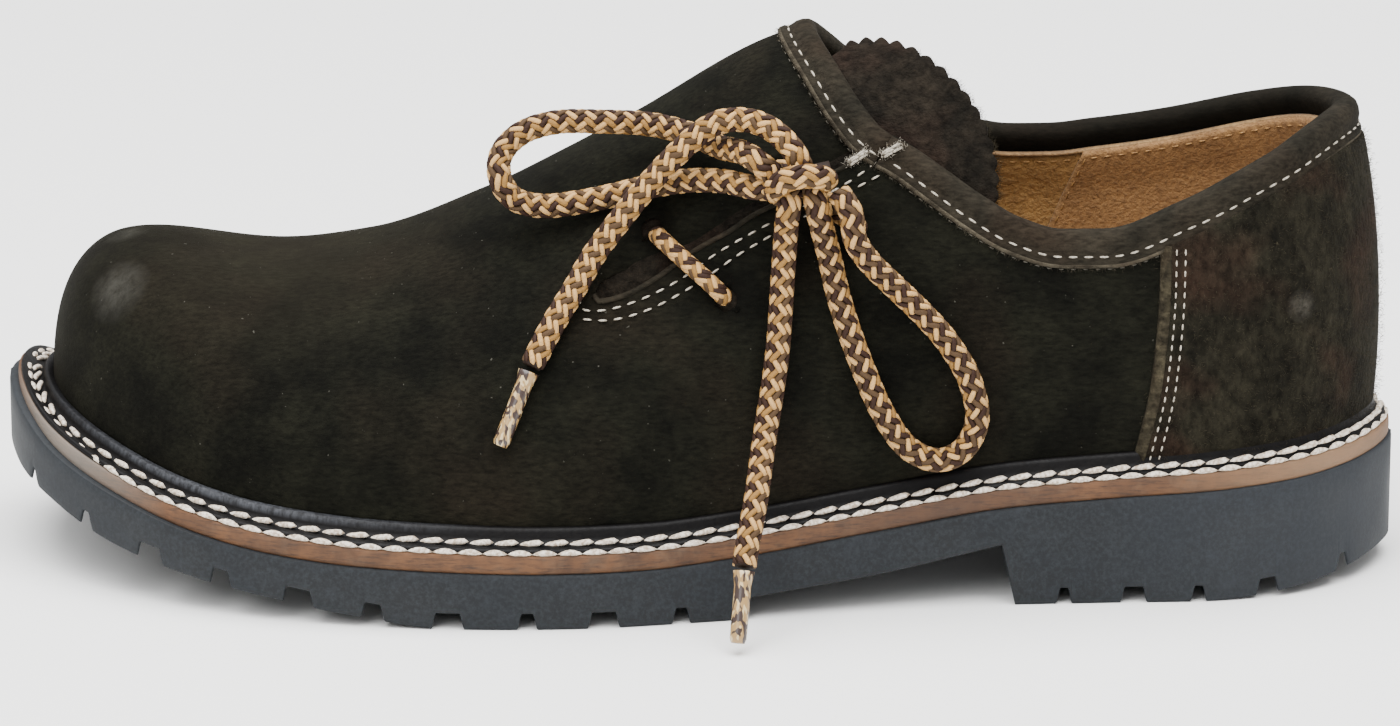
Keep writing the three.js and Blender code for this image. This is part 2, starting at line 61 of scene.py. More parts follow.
# %% Camera
PICTURE_WIDTH = 1400  # pixels
PIXELS_PER_MM = 4.59  # at the shoe
DISTANCE = 1500  # millimetres from the camera to the shoe
RAISED = math.radians(16.5)  # the camera's height above the horizon
AIM = (0.4, 0, 43)  # millimetres, in the part's frame

camera_data = bpy.data.cameras.new("camera")
camera_data.sensor_width = 36
camera_data.lens = camera_data.sensor_width * PIXELS_PER_MM * DISTANCE / PICTURE_WIDTH
camera = bpy.data.objects.new("camera", camera_data)
towards = Vector((0, -math.cos(RAISED), math.sin(RAISED)))
camera.location = (Vector(AIM) + towards * DISTANCE) * MM
camera.rotation_euler = (math.pi / 2 - RAISED, 0, 0)
bpy.context.collection.objects.link(camera)
bpy.context.scene.camera = camera
print("lens", round(camera_data.lens, 1), "mm")

# %% [markdown]
# ## Smooth tables
# A shoemaker keeps a last as a set of measured sections. Here each measure is a short table of
# place and value, and a monotone cubic curve runs through it: it is smooth, and it never swings
# past the values, as a plain spline would.

# %% A curve through a table
def through(at, value):
    """Cubic pieces through the points. The slope at a point is the harmonic mean of the slopes
    beside it, or level where they differ in sign. Beyond the ends the curve is level."""
    at, value = np.asarray(at, float), np.asarray(value, float)
    slope = np.diff(value) / np.diff(at)
    product = slope[:-1] * slope[1:]
    total = np.where(product > 0, slope[:-1] + slope[1:], 1)
    tangent = np.concatenate([slope[:1], np.where(product > 0, 2 * product / total, 0), slope[-1:]])

    def curve(x):
        x = np.clip(x, at[0], at[-1])
        i = np.clip(np.searchsorted(at, x, side="right") - 1, 0, len(at) - 2)
        step = at[i + 1] - at[i]
        t = (x - at[i]) / step
        keep = (1 + 2 * t) * (1 - t) ** 2
        lean = step * (t * (1 - t) ** 2 * tangent[i] - t * t * (1 - t) * tangent[i + 1])
        return keep * value[i] + (1 - keep) * value[i + 1] + lean

    return curve


def columns(rows, *names):
    """One curve for each named column of a table whose first column is the place."""
    table = np.array(rows, float)
    return {name: through(table[:, 0], table[:, k + 1]) for k, name in enumerate(names)}


print("half a step into 0, 1, 1 the curve is at", through([0, 1, 2], [0, 1, 1])(0.5).round(3))

# %% [markdown]
# ## Outline of the sole
# The sole's outline is a closed curve through fifteen stations on each side. The centripetal
# form of the Catmull-Rom spline is chosen because it makes no loops where stations lie close, as
# at the toe. A point of it is named by u, which goes once round: down the outer side to the heel
# at one half, and back up the inner side.

# %% The outline and its stations
SOLE_LENGTH = 303
GAP = 0.3  # air between two layers, in millimetres
MIDSOLE = 4.2  # thickness of the leather layer
WALL = 2.6  # nubuck and lining together
OUTLINE = [  # place, outer side, inner side
    (0, 15, 15),
    (3.5, -3.5, 34.5),
    (12, -17.5, 43.5),
    (26, -31, 48.8),
    (46, -43.5, 51.8),
    (72, -52, 53.5),
    (100, -55.5, 53),
    (128, -55, 48.5),
    (156, -50, 41.5),
    (184, -44, 36),
    (212, -39.5, 33.5),
    (240, -37.5, 34),
    (264, -36, 34),
    (282, -30.5, 29.5),
    (296, -17.5, 17.5),
    (SOLE_LENGTH, 0, 0),
]
INSET = [  # place, then how far the midsole's edge and the feather line lie inside the outline
    (0, 2, 9.6),
    (40, 1.2, 8),
    (100, 0.8, 7.4),
    (200, 0.8, 6.4),
    (270, 0.7, 5.6),
    (SOLE_LENGTH, 0.7, 6),
]
inset = columns(INSET, "midsole", "feather")
stations = [(x, outer) for x, outer, _ in OUTLINE]
stations += [(x, inner) for x, _, inner in OUTLINE[-2:0:-1]]
NUDGE = 1e-4  # a step in u or v that is small enough to read a slope from


def spline(before, start, end, after, t):
    """The centripetal Catmull-Rom piece from start to end: its tangents weigh the neighbours by
    the square roots of the distances."""
    first, middle, last_gap = (
        np.sqrt(np.linalg.norm(b - a, axis=-1, keepdims=True))
        for a, b in ((before, start), (start, end), (end, after))
    )
    chord = (end - start) / middle
    leave = ((start - before) / first - (end - before) / (first + middle) + chord) * middle
    arrive = (chord - (after - start) / (middle + last_gap) + (after - end) / last_gap) * middle
    rest = end - start
    return start + leave * t + (3 * rest - 2 * leave - arrive) * t**2 + (leave + arrive - 2 * rest) * t**3


def outline(u):
    """The point of the sole's outline at u."""
    points = np.array(stations, float)
    place = np.mod(u, 1) * len(points)
    i = np.floor(place).astype(int)
    near = [points[(i + k) % len(points)] for k in (-1, 0, 1, 2)]
    return spline(*near, (place - i)[..., None])


def edge(u, by):
    """The outline's point at u, moved inwards by a distance that may depend on x."""
    point = outline(u)
    ahead = outline(u + NUDGE) - outline(u - NUDGE)
    ahead /= np.linalg.norm(ahead, axis=-1, keepdims=True)
    inwards = np.stack([-ahead[..., 1], ahead[..., 0]], -1)
    depth = by(point[..., 0]) if callable(by) else np.asarray(by, float)
    return point + inwards * np.broadcast_to(depth, point.shape[:-1])[..., None]


FOOTPRINT = edge(np.arange(66) / 66, 0)
CENTRE = np.append((FOOTPRINT.min(0) + FOOTPRINT.max(0)) / 2, 0)


def to_frame(points):
    """Last coordinates in millimetres as metres in the part's frame."""
    return (np.asarray(points, float) - CENTRE) * MM


low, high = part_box("outsole")
print("outsole is", round((high[0] - low[0]) / MM, 1), "mm long; centre", CENTRE.round(2))

# %% [markdown]
# ## The last
# An upper has the shape of the wooden last that it was drawn over. Each cross-section of the last
# is two cubic curves, one up each side, from the feather line above the welt to the ridge on
# top. At toe and heel the sections fan out round a pole. A point of the surface has two numbers:
# u goes round the foot, and v climbs from the feather line at 0 to the ridge at 1, and on down
# the other side to 2.

# %% Sections of the last
SIDE = [  # place, underside of the tread, top of the rubber
    (0, 23, 37),
    (4, 20, 33.4),
    (11, 16.7, 28),
    (25, 11.2, 22.4),
    (42, 7.6, 17.5),
    (60, 4.9, 14.5),
    (80, 2, 13),
    (98, 0, 12.4),
    (120, 0, 12),
    (140, 0, 12.2),
    (162, 0, 14),
    (191, 0, 17.8),
    (217, 0, 21.5),
    (240, 0, 23.3),
    (262, 0, 24.6),
    (280, 1.6, 26),
    (303, 5, 27.6),
]
LAST = [  # place, height and y of the ridge, then the curve's handles
    (36, 70.1, 9, 0.3, 0.7, 0.74),
    (60, 67.6, 8.5, 2, 0.62, 0.62),
    (80, 70.2, 8, 3, 0.56, 0.58),
    (105, 80, 7, 4, 0.5, 0.52),
    (135, 96, 6, 6, 0.48, 0.46),
    (173, 116.6, 5, 7, 0.46, 0.5),
    (195, 120, 4, 7, 0.42, 0.66),
    (230, 124, 2, 7, 0.4, 0.86),
    (266, 132, 0, 4, 0.36, 0.91),
]
side = columns(SIDE, "tread", "rubber")
last = columns(LAST, "crown", "ridge", "swell", "rise", "shoulder")
TOE_POLE, HEEL_POLE = LAST[0][0], LAST[-1][0]
SOFTNESS = 7  # millimetres over which the sections slow down at a pole


def midsole_top(x):
    """Height of the leather layer's top along the side."""
    return side["rubber"](x) + MIDSOLE


def fanned(x):
    """The place of the section that an outline's x belongs to: softly held between the poles."""
    softly = lambda far: SOFTNESS * np.logaddexp(0, far / SOFTNESS)
    return HEEL_POLE - softly(HEEL_POLE - TOE_POLE - softly(x - TOE_POLE))


def handles(u):
    """The four points that steer the section curve starting at u: foot, low, high and top."""
    plan, mirror = edge(u, inset["feather"]), edge(-u, inset["feather"])
    foot = np.stack([plan[..., 0], plan[..., 1], midsole_top(plan[..., 0]) + GAP], -1)
    x = fanned((plan[..., 0] + mirror[..., 0]) / 2)
    top = np.stack([x, last["ridge"](x), last["crown"](x)], -1)
    inwards = (top - foot) * (1, 1, 0)
    width = np.linalg.norm(inwards, axis=-1)[..., None]
    inwards /= width
    lift = last["rise"](x) * (top[..., 2] - foot[..., 2])
    low = foot - inwards * last["swell"](x)[..., None]
    low[..., 2] += lift
    high = top - inwards * last["shoulder"](x)[..., None] * width
    return foot, low, high, top


def bezier(steer, v):
    """The cubic curve through the handles at v."""
    foot, low, high, top = steer
    v = np.asarray(v)[..., None]
    return foot * (1 - v) ** 3 + 3 * low * v * (1 - v) ** 2 + 3 * high * v * v * (1 - v) + top * v**3


def last_point(u, v):
    """The last's surface at u and v. Past the ridge, v runs down the other side."""
    u, v = np.broadcast_arrays(np.asarray(u, float), np.asarray(v, float))
    return bezier(handles(np.where(v > 1, -u, u)), np.where(v > 1, 2 - v, v))


def slopes(u, v):
    """How fast the surface's point moves with u and with v."""
    du = (last_point(u + NUDGE, v) - last_point(u - NUDGE, v)) / (2 * NUDGE)
    above, below = np.minimum(v + NUDGE, 2), np.maximum(v - NUDGE, 0)
    dv = (last_point(u, above) - last_point(u, below)) / (above - below)[..., None]
    return du, dv


def last_normal(u, v):
    """The outward normal: the cross product of the two slopes, and upright on the ridge."""
    u, v = np.broadcast_arrays(np.asarray(u, float), np.asarray(v, float))
    normal = np.cross(*slopes(u, v))
    x = last_point(u, v)[..., 0]
    climb = (last["crown"](x + 1) - last["crown"](x - 1)) / 2
    upright = np.stack([-climb, np.zeros_like(x), np.ones_like(x)], -1)
    normal = np.where((np.abs(v - 1) < 0.004)[..., None], upright, normal)
    return normal / np.linalg.norm(normal, axis=-1, keepdims=True)


def lifted(u, v, by):
    """The last's surface moved out along its normal by a distance."""
    return last_point(u, v) + last_normal(u, v) * np.asarray(by, float)[..., None]


print("ridge over the ball of the foot at", last_point(0.2, 1.0).round(1))

# %% [markdown]
# ## Finding places on the last
# A seam is easiest to give as it looks from the side: x and height. The surface wants u and v.
# Halving finds them: v for a height, then u for an x. A few Newton steps then allow for pieces
# that lie above or below the surface. Walking a distance along the surface, instead of straight
# through the air, keeps bands the same width all round.

# %% Halving, finding and walking
def halve(low, high, below, steps=30):
    """The place between low and high where below stops being true, by halving the span."""
    low, high = np.array(low, float), np.array(high, float)
    for _ in range(steps):
        middle = (low + high) / 2
        under = below(middle)
        low, high = np.where(under, middle, low), np.where(under, high, middle)
    return (low + high) / 2


def climb_to(u, height):
    """v where the surface at u reaches a height, which may depend on the point."""
    steer = handles(u)
    zero = np.zeros(np.shape(u))

    def below(v):
        point = bezier(steer, v)
        return point[..., 2] < (height(point) if callable(height) else height)

    return halve(zero, zero + 1, below)


def find(x, z, inner=False, by=0.0):
    """u and v of side-view places on the outer or inner side of a surface moved out by a distance."""
    x, z = np.broadcast_arrays(np.asarray(x, float), np.asarray(z, float))
    turned = (lambda u: 1 - u) if inner else (lambda u: u)
    zero = np.zeros(x.shape)
    ahead = lambda u: last_point(turned(u), climb_to(turned(u), z))[..., 0] < x
    u = turned(halve(zero, zero + 0.5, ahead, steps=16))
    v = climb_to(u, z)
    for _ in range(4 if np.any(by) else 0):
        miss = lifted(u, v, by + zero)[..., ::2] - np.stack([x, z], -1)
        du = (lifted(u + NUDGE, v, by + zero)[..., ::2] - np.stack([x, z], -1) - miss) / NUDGE
        dv = (lifted(u, v - NUDGE, by + zero)[..., ::2] - np.stack([x, z], -1) - miss) / -NUDGE
        area = du[..., 0] * dv[..., 1] - du[..., 1] * dv[..., 0]
        u = u - np.clip((miss[..., 0] * dv[..., 1] - miss[..., 1] * dv[..., 0]) / area, -0.02, 0.02)
        v = v - np.clip((du[..., 0] * miss[..., 1] - du[..., 1] * miss[..., 0]) / area, -0.1, 0.1)
    return u, v


def over(x, z, by):
    """A point over the upper or under it, from its place as seen from the side."""
    return tuple(lifted(*find(x, z), by).ravel())


def walk(u, v, heading, length, steps=6):
    """u and v after a walk along the surface. Each step splits the heading into the two slopes."""
    stride = np.asarray(length, float) / steps
    for _ in range(steps):
        du, dv = slopes(u, v)
        aa, ab, bb = (du * du).sum(-1), (du * dv).sum(-1), (dv * dv).sum(-1)
        a, b = (du * heading).sum(-1), (dv * heading).sum(-1)
        area = aa * bb - ab * ab
        across, up = (a * bb - b * ab) / area, (b * aa - a * ab) / area
        flat = du * across[..., None] + dv * up[..., None]
        size = np.linalg.norm(flat, axis=-1)
        u, v = u + across * stride / size, v + up * stride / size
        heading = flat / size[..., None]
    return u, v


EYELETS = [(141.5, 80.4), (157.4, 67.5), (169.3, 92.5), (184.8, 82)]  # as seen from the side
for eyelet in EYELETS:
    print("eyelet at", np.round(over(*eyelet, 0), 1))

# %% [markdown]
# ## Meshes from grids
# Most pieces are grids of points: rows climb, columns go along, and a cell's face looks along
# column direction cross row direction. Points at one place are welded, so that seams and poles
# close. One function then makes the Blender object, rides it on the part's body and hides the
# imported solid that it stands for.

# %% Grids, welding and pieces
WELD = 1e-3  # millimetres within which two points are one
pieces = {}


def grid(points, round_columns=False, round_rows=False):
    """The points of a grid in one list, and its cells as rows of four corners."""
    rows, across = points.shape[:2]
    index = np.arange(rows * across).reshape(rows, across)
    if round_columns:
        index = np.concatenate([index, index[:, :1]], 1)
    if round_rows:
        index = np.concatenate([index, index[:1]], 0)
    cells = np.stack([index[:-1, :-1], index[:-1, 1:], index[1:, 1:], index[1:, :-1]], -1)
    return points.reshape(-1, 3), cells.reshape(-1, 4)


def joined(*parts):
    """Several lists of points and cells as one."""
    starts = np.cumsum([0] + [len(points) for points, _ in parts[:-1]])
    cells = [faces + start for (_, faces), start in zip(parts, starts)]
    return np.concatenate([points for points, _ in parts]), np.concatenate(cells)


def weld(points, cells):
    """Points at one place become one. A cell that loses a corner is a triangle, or nothing."""
    _, first, index = np.unique(
        np.round(points / WELD).astype(np.int64), axis=0, return_index=True, return_inverse=True
    )
    cells = index.reshape(-1)[cells]
    lost = cells == np.roll(cells, -1, axis=1)
    whole = cells[~lost.any(1)]
    three = cells[lost.sum(1) == 1][~lost[lost.sum(1) == 1]].reshape(-1, 3)
    return points[first], whole.tolist() + three.tolist()


def piece(name, parts, material, replaces=(), thickness=0, welded=True):
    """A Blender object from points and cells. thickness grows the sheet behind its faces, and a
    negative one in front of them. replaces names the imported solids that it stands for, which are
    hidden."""
    points, cells = parts
    if welded:
        points, cells = weld(points, cells)
    mesh = bpy.data.meshes.new(name)
    mesh.from_pydata(to_frame(points).tolist(), [], [list(cell) for cell in cells])
    mesh.materials.append(material)
    mesh.shade_smooth()
    made = bpy.data.objects.new(name, mesh)
    bpy.context.collection.objects.link(made)
    if thickness:
        wall = made.modifiers.new("wall", "SOLIDIFY")
        wall.thickness, wall.offset = thickness * MM, -1
    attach(made, "root")
    if replaces:
        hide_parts(*([replaces] if isinstance(replaces, str) else replaces))
    pieces[name] = made
    print(name, len(mesh.vertices), "points", len(mesh.polygons), "faces")
    return made


# %% [markdown]
# ## Materials
# A hex colour is what the eye reads on a screen. The shader wants linear light, so one function
# converts it. One more function adds a shader node with its settings and links. Every material
# below is named for the real one, with its grain worked out from millimetres: a noise's scale in
# Object coordinates is cells per metre.

# %% Colour and node helpers
def colour(hex_code):
    """An sRGB hex colour as linear red, green, blue and alpha."""
    part = np.array([int(hex_code[i : i + 2], 16) for i in (1, 3, 5)]) / 255
    linear = np.where(part <= 0.04045, part / 12.92, ((part + 0.055) / 1.055) ** 2.4)
    return (*linear.tolist(), 1.0)


def add(material, kind, inputs=None, **settings):
    """A shader node of a kind. inputs are values, or other nodes' outputs to link."""
    tree = material.node_tree
    node = tree.nodes.new("ShaderNode" + kind)
    for name, value in settings.items():
        setattr(node, name, value)
    for name, value in (inputs or {}).items():
        if isinstance(value, bpy.types.NodeSocket):
            tree.links.new(value, node.inputs[name])
        else:
            node.inputs[name].default_value = value
    return node


def per_metre(millimetres):
    """The scale of a pattern whose cells are that wide."""
    return 1000 / millimetres


def blank(name):
    """An empty material, and the coordinates of its object."""
    material = bpy.data.materials.new(name)
    material.use_nodes = True
    material.node_tree.nodes.clear()
    return material, add(material, "TexCoord").outputs["Object"]


def noise(material, place, size, detail=3, rough=0.6):
    """Cloudy noise from 0 to 1 with cells of a size in millimetres."""
    inputs = {"Vector": place, "Scale": per_metre(size), "Detail": detail, "Roughness": rough}
    return add(material, "TexNoise", inputs).outputs["Fac"]


def spread(material, value, low, high, to_low=0.0, to_high=1.0):
    """A value's span from low to high, mapped to another span and held there."""
    inputs = {"Value": value, "From Min": low, "From Max": high, "To Min": to_low, "To Max": to_high}
    return add(material, "MapRange", inputs).outputs["Result"]


def blend(material, share, first, second):
    """One colour over another, by a share from 0 to 1."""
    node = add(material, "Mix", {0: share, 6: first, 7: second}, data_type="RGBA")
    return node.outputs[2]


def finish(material, surface):
    """Links a shader to the material's output."""
    add(material, "OutputMaterial", {"Surface": surface.outputs[0]})
    return material


def multiplied(material, first, second):
    """The product of two values."""
    return add(material, "Math", {0: first, 1: second}, operation="MULTIPLY").outputs[0]


def patch(material, place, centre, radius, soft=1.0):
    """A soft round patch: 1 at a centre in last coordinates, and 0 from a radius outwards."""
    inputs = {0: place, 1: tuple(to_frame(centre))}
    reach = add(material, "VectorMath", inputs, operation="DISTANCE").outputs["Value"]
    return spread(material, reach, radius * MM, radius * (1 - soft) * MM, 0.0, 1.0)


def wear_and_painted_light(material, tone, place, centre, radius, share, hex_code, soft=1.0):
    """A tone with a soft round patch of another colour over it, as strong as its share. It lays real dust
    and wear, and also painted highlights and painted shade.
    """
    cover = multiplied(material, patch(material, place, centre, radius, soft), share)
    return blend(material, cover, tone, colour(hex_code))


def recoloured(material, surface, tone):
    """A finished material whose shader takes another tone."""
    material.node_tree.links.new(tone, surface.inputs["Base Color"])
    return finish(material, surface)


print("the eye's middle grey is", round(colour("#808080")[0], 3), "in linear light")

# %% [markdown]
# ## Nubuck and suede
# Nubuck is leather whose grain side is brushed to a short nap; suede is the flesh side, with a
# longer and rougher one. Both are matt, and their standing fibres catch light at the rim, which is
# the shader's sheen. Fingers and wear lay the nap down in lighter and darker clouds. All the
# leathers come from one function. Marks are then laid over it one at a time: grey dust on the toe,
# pale specks, a painted highlight over the top of the toe and the instep, and painted shade in
# rings round the lower eyelets.

# %% Nubuck and suede
def napped(
    name, dark, light, warm, nap=0.35, clouds=14, fuzz=0.5, sheen=0.03, mottle=0.5, lie=(0.35, 1, 1)
):
    """Brushed leather. Clouds of a size blend its dark and light tones, wider ones its warm tone, and
    the fibres multiply the tone by 0.55 to 1 + mottle. nap is a fibre's width and fuzz how many of
    those it stands up; lie scales the pattern, so that fibres run along the axis with the least."""
    material, place = blank(name)
    cloud = noise(material, place, clouds, 4, 0.62)
    streak = add(material, "Mapping", {"Vector": place, "Scale": lie}).outputs[0]
    fibre = noise(material, streak, nap * 2.2, 3, 0.7)
    grain = noise(material, place, nap, 2, 0.6)
    tone = blend(material, spread(material, cloud, 0.36, 0.66), colour(dark), colour(light))
    warmth = spread(material, noise(material, place, clouds * 2.4, 2, 0.5), 0.5, 0.72, 0, 0.75)
    tone = blend(material, warmth, tone, colour(warm))
    dust = spread(material, fibre, 0.32, 0.7, 0.55, 1.0 + mottle)
    shaded = add(material, "Mix", {0: 1.0, 6: tone, 7: dust}, data_type="RGBA", blend_type="MULTIPLY")
    tone = shaded.outputs[2]
    height = add(material, "Math", {0: fibre, 1: grain}, operation="ADD").outputs[0]
    bump = add(material, "Bump", {"Height": height, "Strength": 0.55, "Distance": fuzz * nap * MM})
    inputs = {
        "Base Color": tone,
        "Roughness": 0.92,
        "Specular IOR Level": 0.06,
        "Sheen Weight": sheen,
        "Sheen Roughness": 0.45,
        "Sheen Tint": colour("#8c8272"),
        "Normal": bump.outputs[0],
    }
    return material, place, tone, add(material, "BsdfPrincipled", inputs)


# The upper's nubuck: nearly black, dusty at the toe, with a painted highlight on top and painted shade round
# the lower eyelets.
nubuck, place, tone, surface = napped("brushed_nubuck", "#0a0a07", "#15150f", "#1b1711")
low_dust = patch(nubuck, place, over(26, 62, 0), 8.5)
high_dust = multiplied(nubuck, patch(nubuck, place, over(24.5, 69, 0), 5.5), 0.55)
toe_dust = add(nubuck, "Math", {0: low_dust, 1: high_dust}, operation="MAXIMUM").outputs[0]
upwards = add(nubuck, "Mapping", {"Vector": place, "Scale": (1, 1, 0.45)}).outputs[0]
smears = spread(nubuck, noise(nubuck, upwards, 3.5, 4, 0.7), 0.36, 0.66, 0.2, 0.75)
tone = blend(nubuck, multiplied(nubuck, toe_dust, smears), tone, colour("#464540"))
# Painted highlight: the top of the toe and the instep are made lighter and browner, where the overhead light
# falls.
tone = wear_and_painted_light(nubuck, tone, place, (60, 5, 76), 48, 0.35, "#2b261d")
specks = spread(nubuck, noise(nubuck, place, 0.9, 1, 0.5), 0.78, 0.81, 0, 0.35)
tone = blend(nubuck, specks, tone, colour("#66645b"))
# Painted shade: dark rings round the two lower eyelets, where the hole and the lace over it cast shade.
for eyelet in EYELETS[:2]:
    tone = wear_and_painted_light(nubuck, tone, place, over(*eyelet, 0), 6.5, 0.9, "#060504")
recoloured(nubuck, surface, tone)

# The same leather rolled over the collar, painted lighter because the roll catches more light, and painted
# darker over the far side, where it lies in shade.
band_nubuck, place, tone, surface = napped(
    "brushed_nubuck_band", "#1c1a15", "#29251e", "#261f18", clouds=9
)
# Painted shade over the far side of the band, inside the collar.
tone = wear_and_painted_light(band_nubuck, tone, place, (255, 36, 92), 66, 0.75, "#0c0b08", soft=0.5)
recoloured(band_nubuck, surface, tone)

# Suede has a nap twice as coarse, which shows as mottling. A pale scuff marks the counter.
counter_suede, place, tone, surface = napped(
    "rough_suede_counter", "#0f0e0a", "#1e1c15", "#261a14",
    nap=0.7, clouds=9, fuzz=1.2, sheen=0.05, mottle=0.9, lie=(0.8, 1, 0.5)
)
blotches = spread(counter_suede, noise(counter_suede, place, 1.6, 4, 0.7), 0.36, 0.62, 0.2, 0.7)
tone = wear_and_painted_light(counter_suede, tone, place, over(279.5, 63.5, 1), 4, blotches, "#56524a")
recoloured(counter_suede, surface, tone)
tongue_suede, _, _, surface = napped(
    "rough_suede_tongue", "#0f0d0a", "#1c1813", "#211712",
    nap=0.7, clouds=9, fuzz=1.2, sheen=0.05, mottle=0.9, lie=(0.7, 1, 0.7)
)
finish(tongue_suede, surface)

# Where a knife went through, the dye hasn't reached: the edge and its fibres are paler.
raw_edge, _, _, surface = napped(
    "cut_leather_edge", "#2c2821", "#4f493d", "#3c352c", nap=0.5, clouds=4, fuzz=1.0, sheen=0.05
)
finish(raw_edge, surface)
pared_edge, _, _, surface = napped(
    "pared_leather_edge", "#1d1a14", "#3a3529", "#2d261d",
    nap=0.6, clouds=3, fuzz=1.0, sheen=0.05, mottle=0.8
)
finish(pared_edge, surface)
print("leathers:", ", ".join(material.name for material in bpy.data.materials))

# %% [markdown]
# ## Where the upper's seams run
# The topline, the slit and the counter's edge are drawn as they look from the side. The topline
# is a ruled surface between an outer and an inner line, cut through the last. The slit's two
# lines start at one point low on the vamp and meet again at the throat.

# %% Topline and slit
TOPLINE = [  # place, height on the outer side, height on the inner side
    (170, 124, 124),
    (176, 118, 118),
    (180.5, 112.6, 113.6),
    (186, 105, 108.6),
    (191, 100.2, 104),
    (197, 97.6, 99),
    (204, 93.2, 95),
    (212, 88, 92),
    (220, 83.6, 90.7),
    (229, 81.2, 90.6),
    (238, 81.2, 91.6),
    (254, 86.8, 93.8),
    (273, 95.6, 98.4),
    (290, 102.3, 102.3),
    (320, 104, 104),
]
TOPLINE_HALF = 28  # y at which those heights are taken
SLIT = [  # place, the vamp's edge, the quarter's lip
    (129.4, 67.4, 67.4),
    (130.4, 69.8, 66.3),
    (133, 71.4, 66.7),
    (137, 73, 68),
    (143, 75, 71.2),
    (148.5, 76.6, 75),
    (153, 77.6, 77.7),
    (158, 79.4, 80.3),
    (163, 82.4, 83.5),
    (170, 85.6, 86.8),
    (180, 90.6, 91.8),
    (188, 94.8, 95.8),
    (193, 99, 99),
]
topline = columns(TOPLINE, "outer", "inner")
slit = columns(SLIT, "vamp", "lip")
SLIT_FROM, SLIT_TO = SLIT[0][0], SLIT[-1][0]


def topline_height(point):
    """The topline's height over a point: from the outer line to the inner line across the foot."""
    x, y = point[..., 0], np.clip(point[..., 1] / TOPLINE_HALF, -1, 1)
    outer, inner = topline["outer"](x), topline["inner"](x)
    return outer + (inner - outer) * (y + 1) / 2


slit_start = float(find(SLIT_FROM, SLIT[0][1])[0])
corner = float(find(SLIT_TO, SLIT[-1][1])[0])


def ridge_is_below(u):
    """Whether the ridge still lies under the topline."""
    ridge = last_point(u, 1.0)
    return ridge[..., 2] < topline_height(ridge)


throat = float(halve(0.2, 0.4, ridge_is_below))
print("slit from u", round(slit_start, 3), "to", round(corner, 3), "throat", round(throat, 3))

# %% [markdown]
# ## Upper
# The real upper is one piece of nubuck, closed at the back by the counter. It could be cut from a
# whole last with booleans, but a knife through a fine mesh leaves slivers that spoil the shine.
# So three patches are laid out between the seams instead: the side below the slit, the part
# above it up to the ridge, and the inner side. They share their points wherever the leather is
# whole. Holes are punched by dropping the cells inside a circle and drawing the rest to it.

# %% Upper: the three patches
def spans(*marks):
    """Numbers through marks given as (value, count, power): power above 1 crowds the start."""
    runs = [
        start + (end - start) * (np.arange(count) / count) ** power
        for (start, count, power), (end, _, _) in zip(marks[:-1], marks[1:])
    ]
    return np.concatenate([*runs, [marks[-1][0]]])


EYELET_RADIUS = 2.5
LEATHER = 1.3  # thickness of the nubuck alone
along = spans((0, 120, 1), (slit_start, 100, 1), (throat, 34, 2), (corner, 100, 1), (0.5, 0, 1))
front = int(np.argmin(np.abs(along - corner)))
hinge = int(np.argmin(np.abs(along - slit_start)))


def to_slit(u, line):
    """v at which a line of the slit, or its level run to the toe, crosses the column at u."""
    held = np.maximum(u, slit_start)
    return climb_to(held, lambda point: line(point[..., 0]))


top_outer = np.where(along > throat, climb_to(along, topline_height), 1.0)
top_inner = np.where(along > throat, climb_to(1 - along, topline_height), 1.0)
lip_v = np.where(along < corner, to_slit(along, slit["lip"]), top_outer)
vamp_v = np.minimum(to_slit(along, slit["vamp"]), top_outer)
lip_v[: hinge + 1] = vamp_v[: hinge + 1] = lip_v[hinge]
lip_v[front] = vamp_v[front] = top_outer[front]


def patch_between(u, low, high, rows):
    """u and v of a patch whose rows run from the low line to the high line."""
    share = np.linspace(0, 1, rows + 1)[:, None]
    return np.broadcast_to(u, (rows + 1, len(u))), low + (high - low) * share


lower_patch = patch_between(along, np.zeros(len(along)), lip_v, 40)
upper_patch = patch_between(along[: front + 1], vamp_v[: front + 1], top_outer[: front + 1], 32)
inner_patch = patch_between(1 - along[::-1], np.zeros(len(along)), top_inner[::-1], 52)

# %% [markdown]
# ## Relief of the upper
# Leather over a last is never quite smooth. The slit's lip stands a little proud and the vamp's
# edge slips under it. The lace draws the leather in at its holes, the vamp has soft troughs
# where it will bend, and the toe keeps the wide, low dents of lasting. Each is a smooth hill or
# trough round a given line.

# %% Troughs and hills
def distance_to(points, line):
    """Each point's distance to a line of points joined up, and how far along the line it is."""
    line = np.asarray(line, float)
    best = np.full(points.shape[:-1], np.inf)
    share = np.zeros(points.shape[:-1])
    for k, (a, b) in enumerate(zip(line[:-1], line[1:])):
        t = np.clip(((points - a) @ (b - a)) / ((b - a) @ (b - a)), 0, 1)
        far = np.linalg.norm(points - a - t[..., None] * (b - a), axis=-1)
        share = np.where(far < best, (k + t) / (len(line) - 1), share)
        best = np.minimum(best, far)
    return best, share


def ease(x, low, high):
    """0 below low, 1 above high, and smooth between."""
    t = np.clip((x - low) / (high - low), 0, 1)
    return t * t * (3 - 2 * t)


CREASES = [  # depth, width, side, then the line as seen from the side
    (0.55, 6, -1, [(112, 79), (107, 66), (104, 52), (106, 38)]),
    (0.4, 5, -1, [(126, 86), (119, 72), (116, 58)]),
    (-0.4, 6, -1, [(119, 80), (112, 66), (110, 50)]),
    (0.5, 7, 1, [(112, 78), (108, 62), (108, 45)]),
    (0.4, 6, 1, [(128, 88), (124, 72), (122, 56)]),
    (0.5, 9, -1, [(222, 66), (212, 56), (206, 42)]),
    (0.35, 7, -1, [(163, 78), (170, 66), (186, 58)]),
    (-0.35, 8, -1, [(150, 62), (166, 52), (190, 48)]),
    (0.45, 9, 1, [(205, 80), (196, 62), (192, 44)]),
    (0.5, 12, -1, [(52, 62), (64, 52), (80, 44)]),
    (-0.3, 12, -1, [(40, 44), (52, 38), (70, 34)]),
]


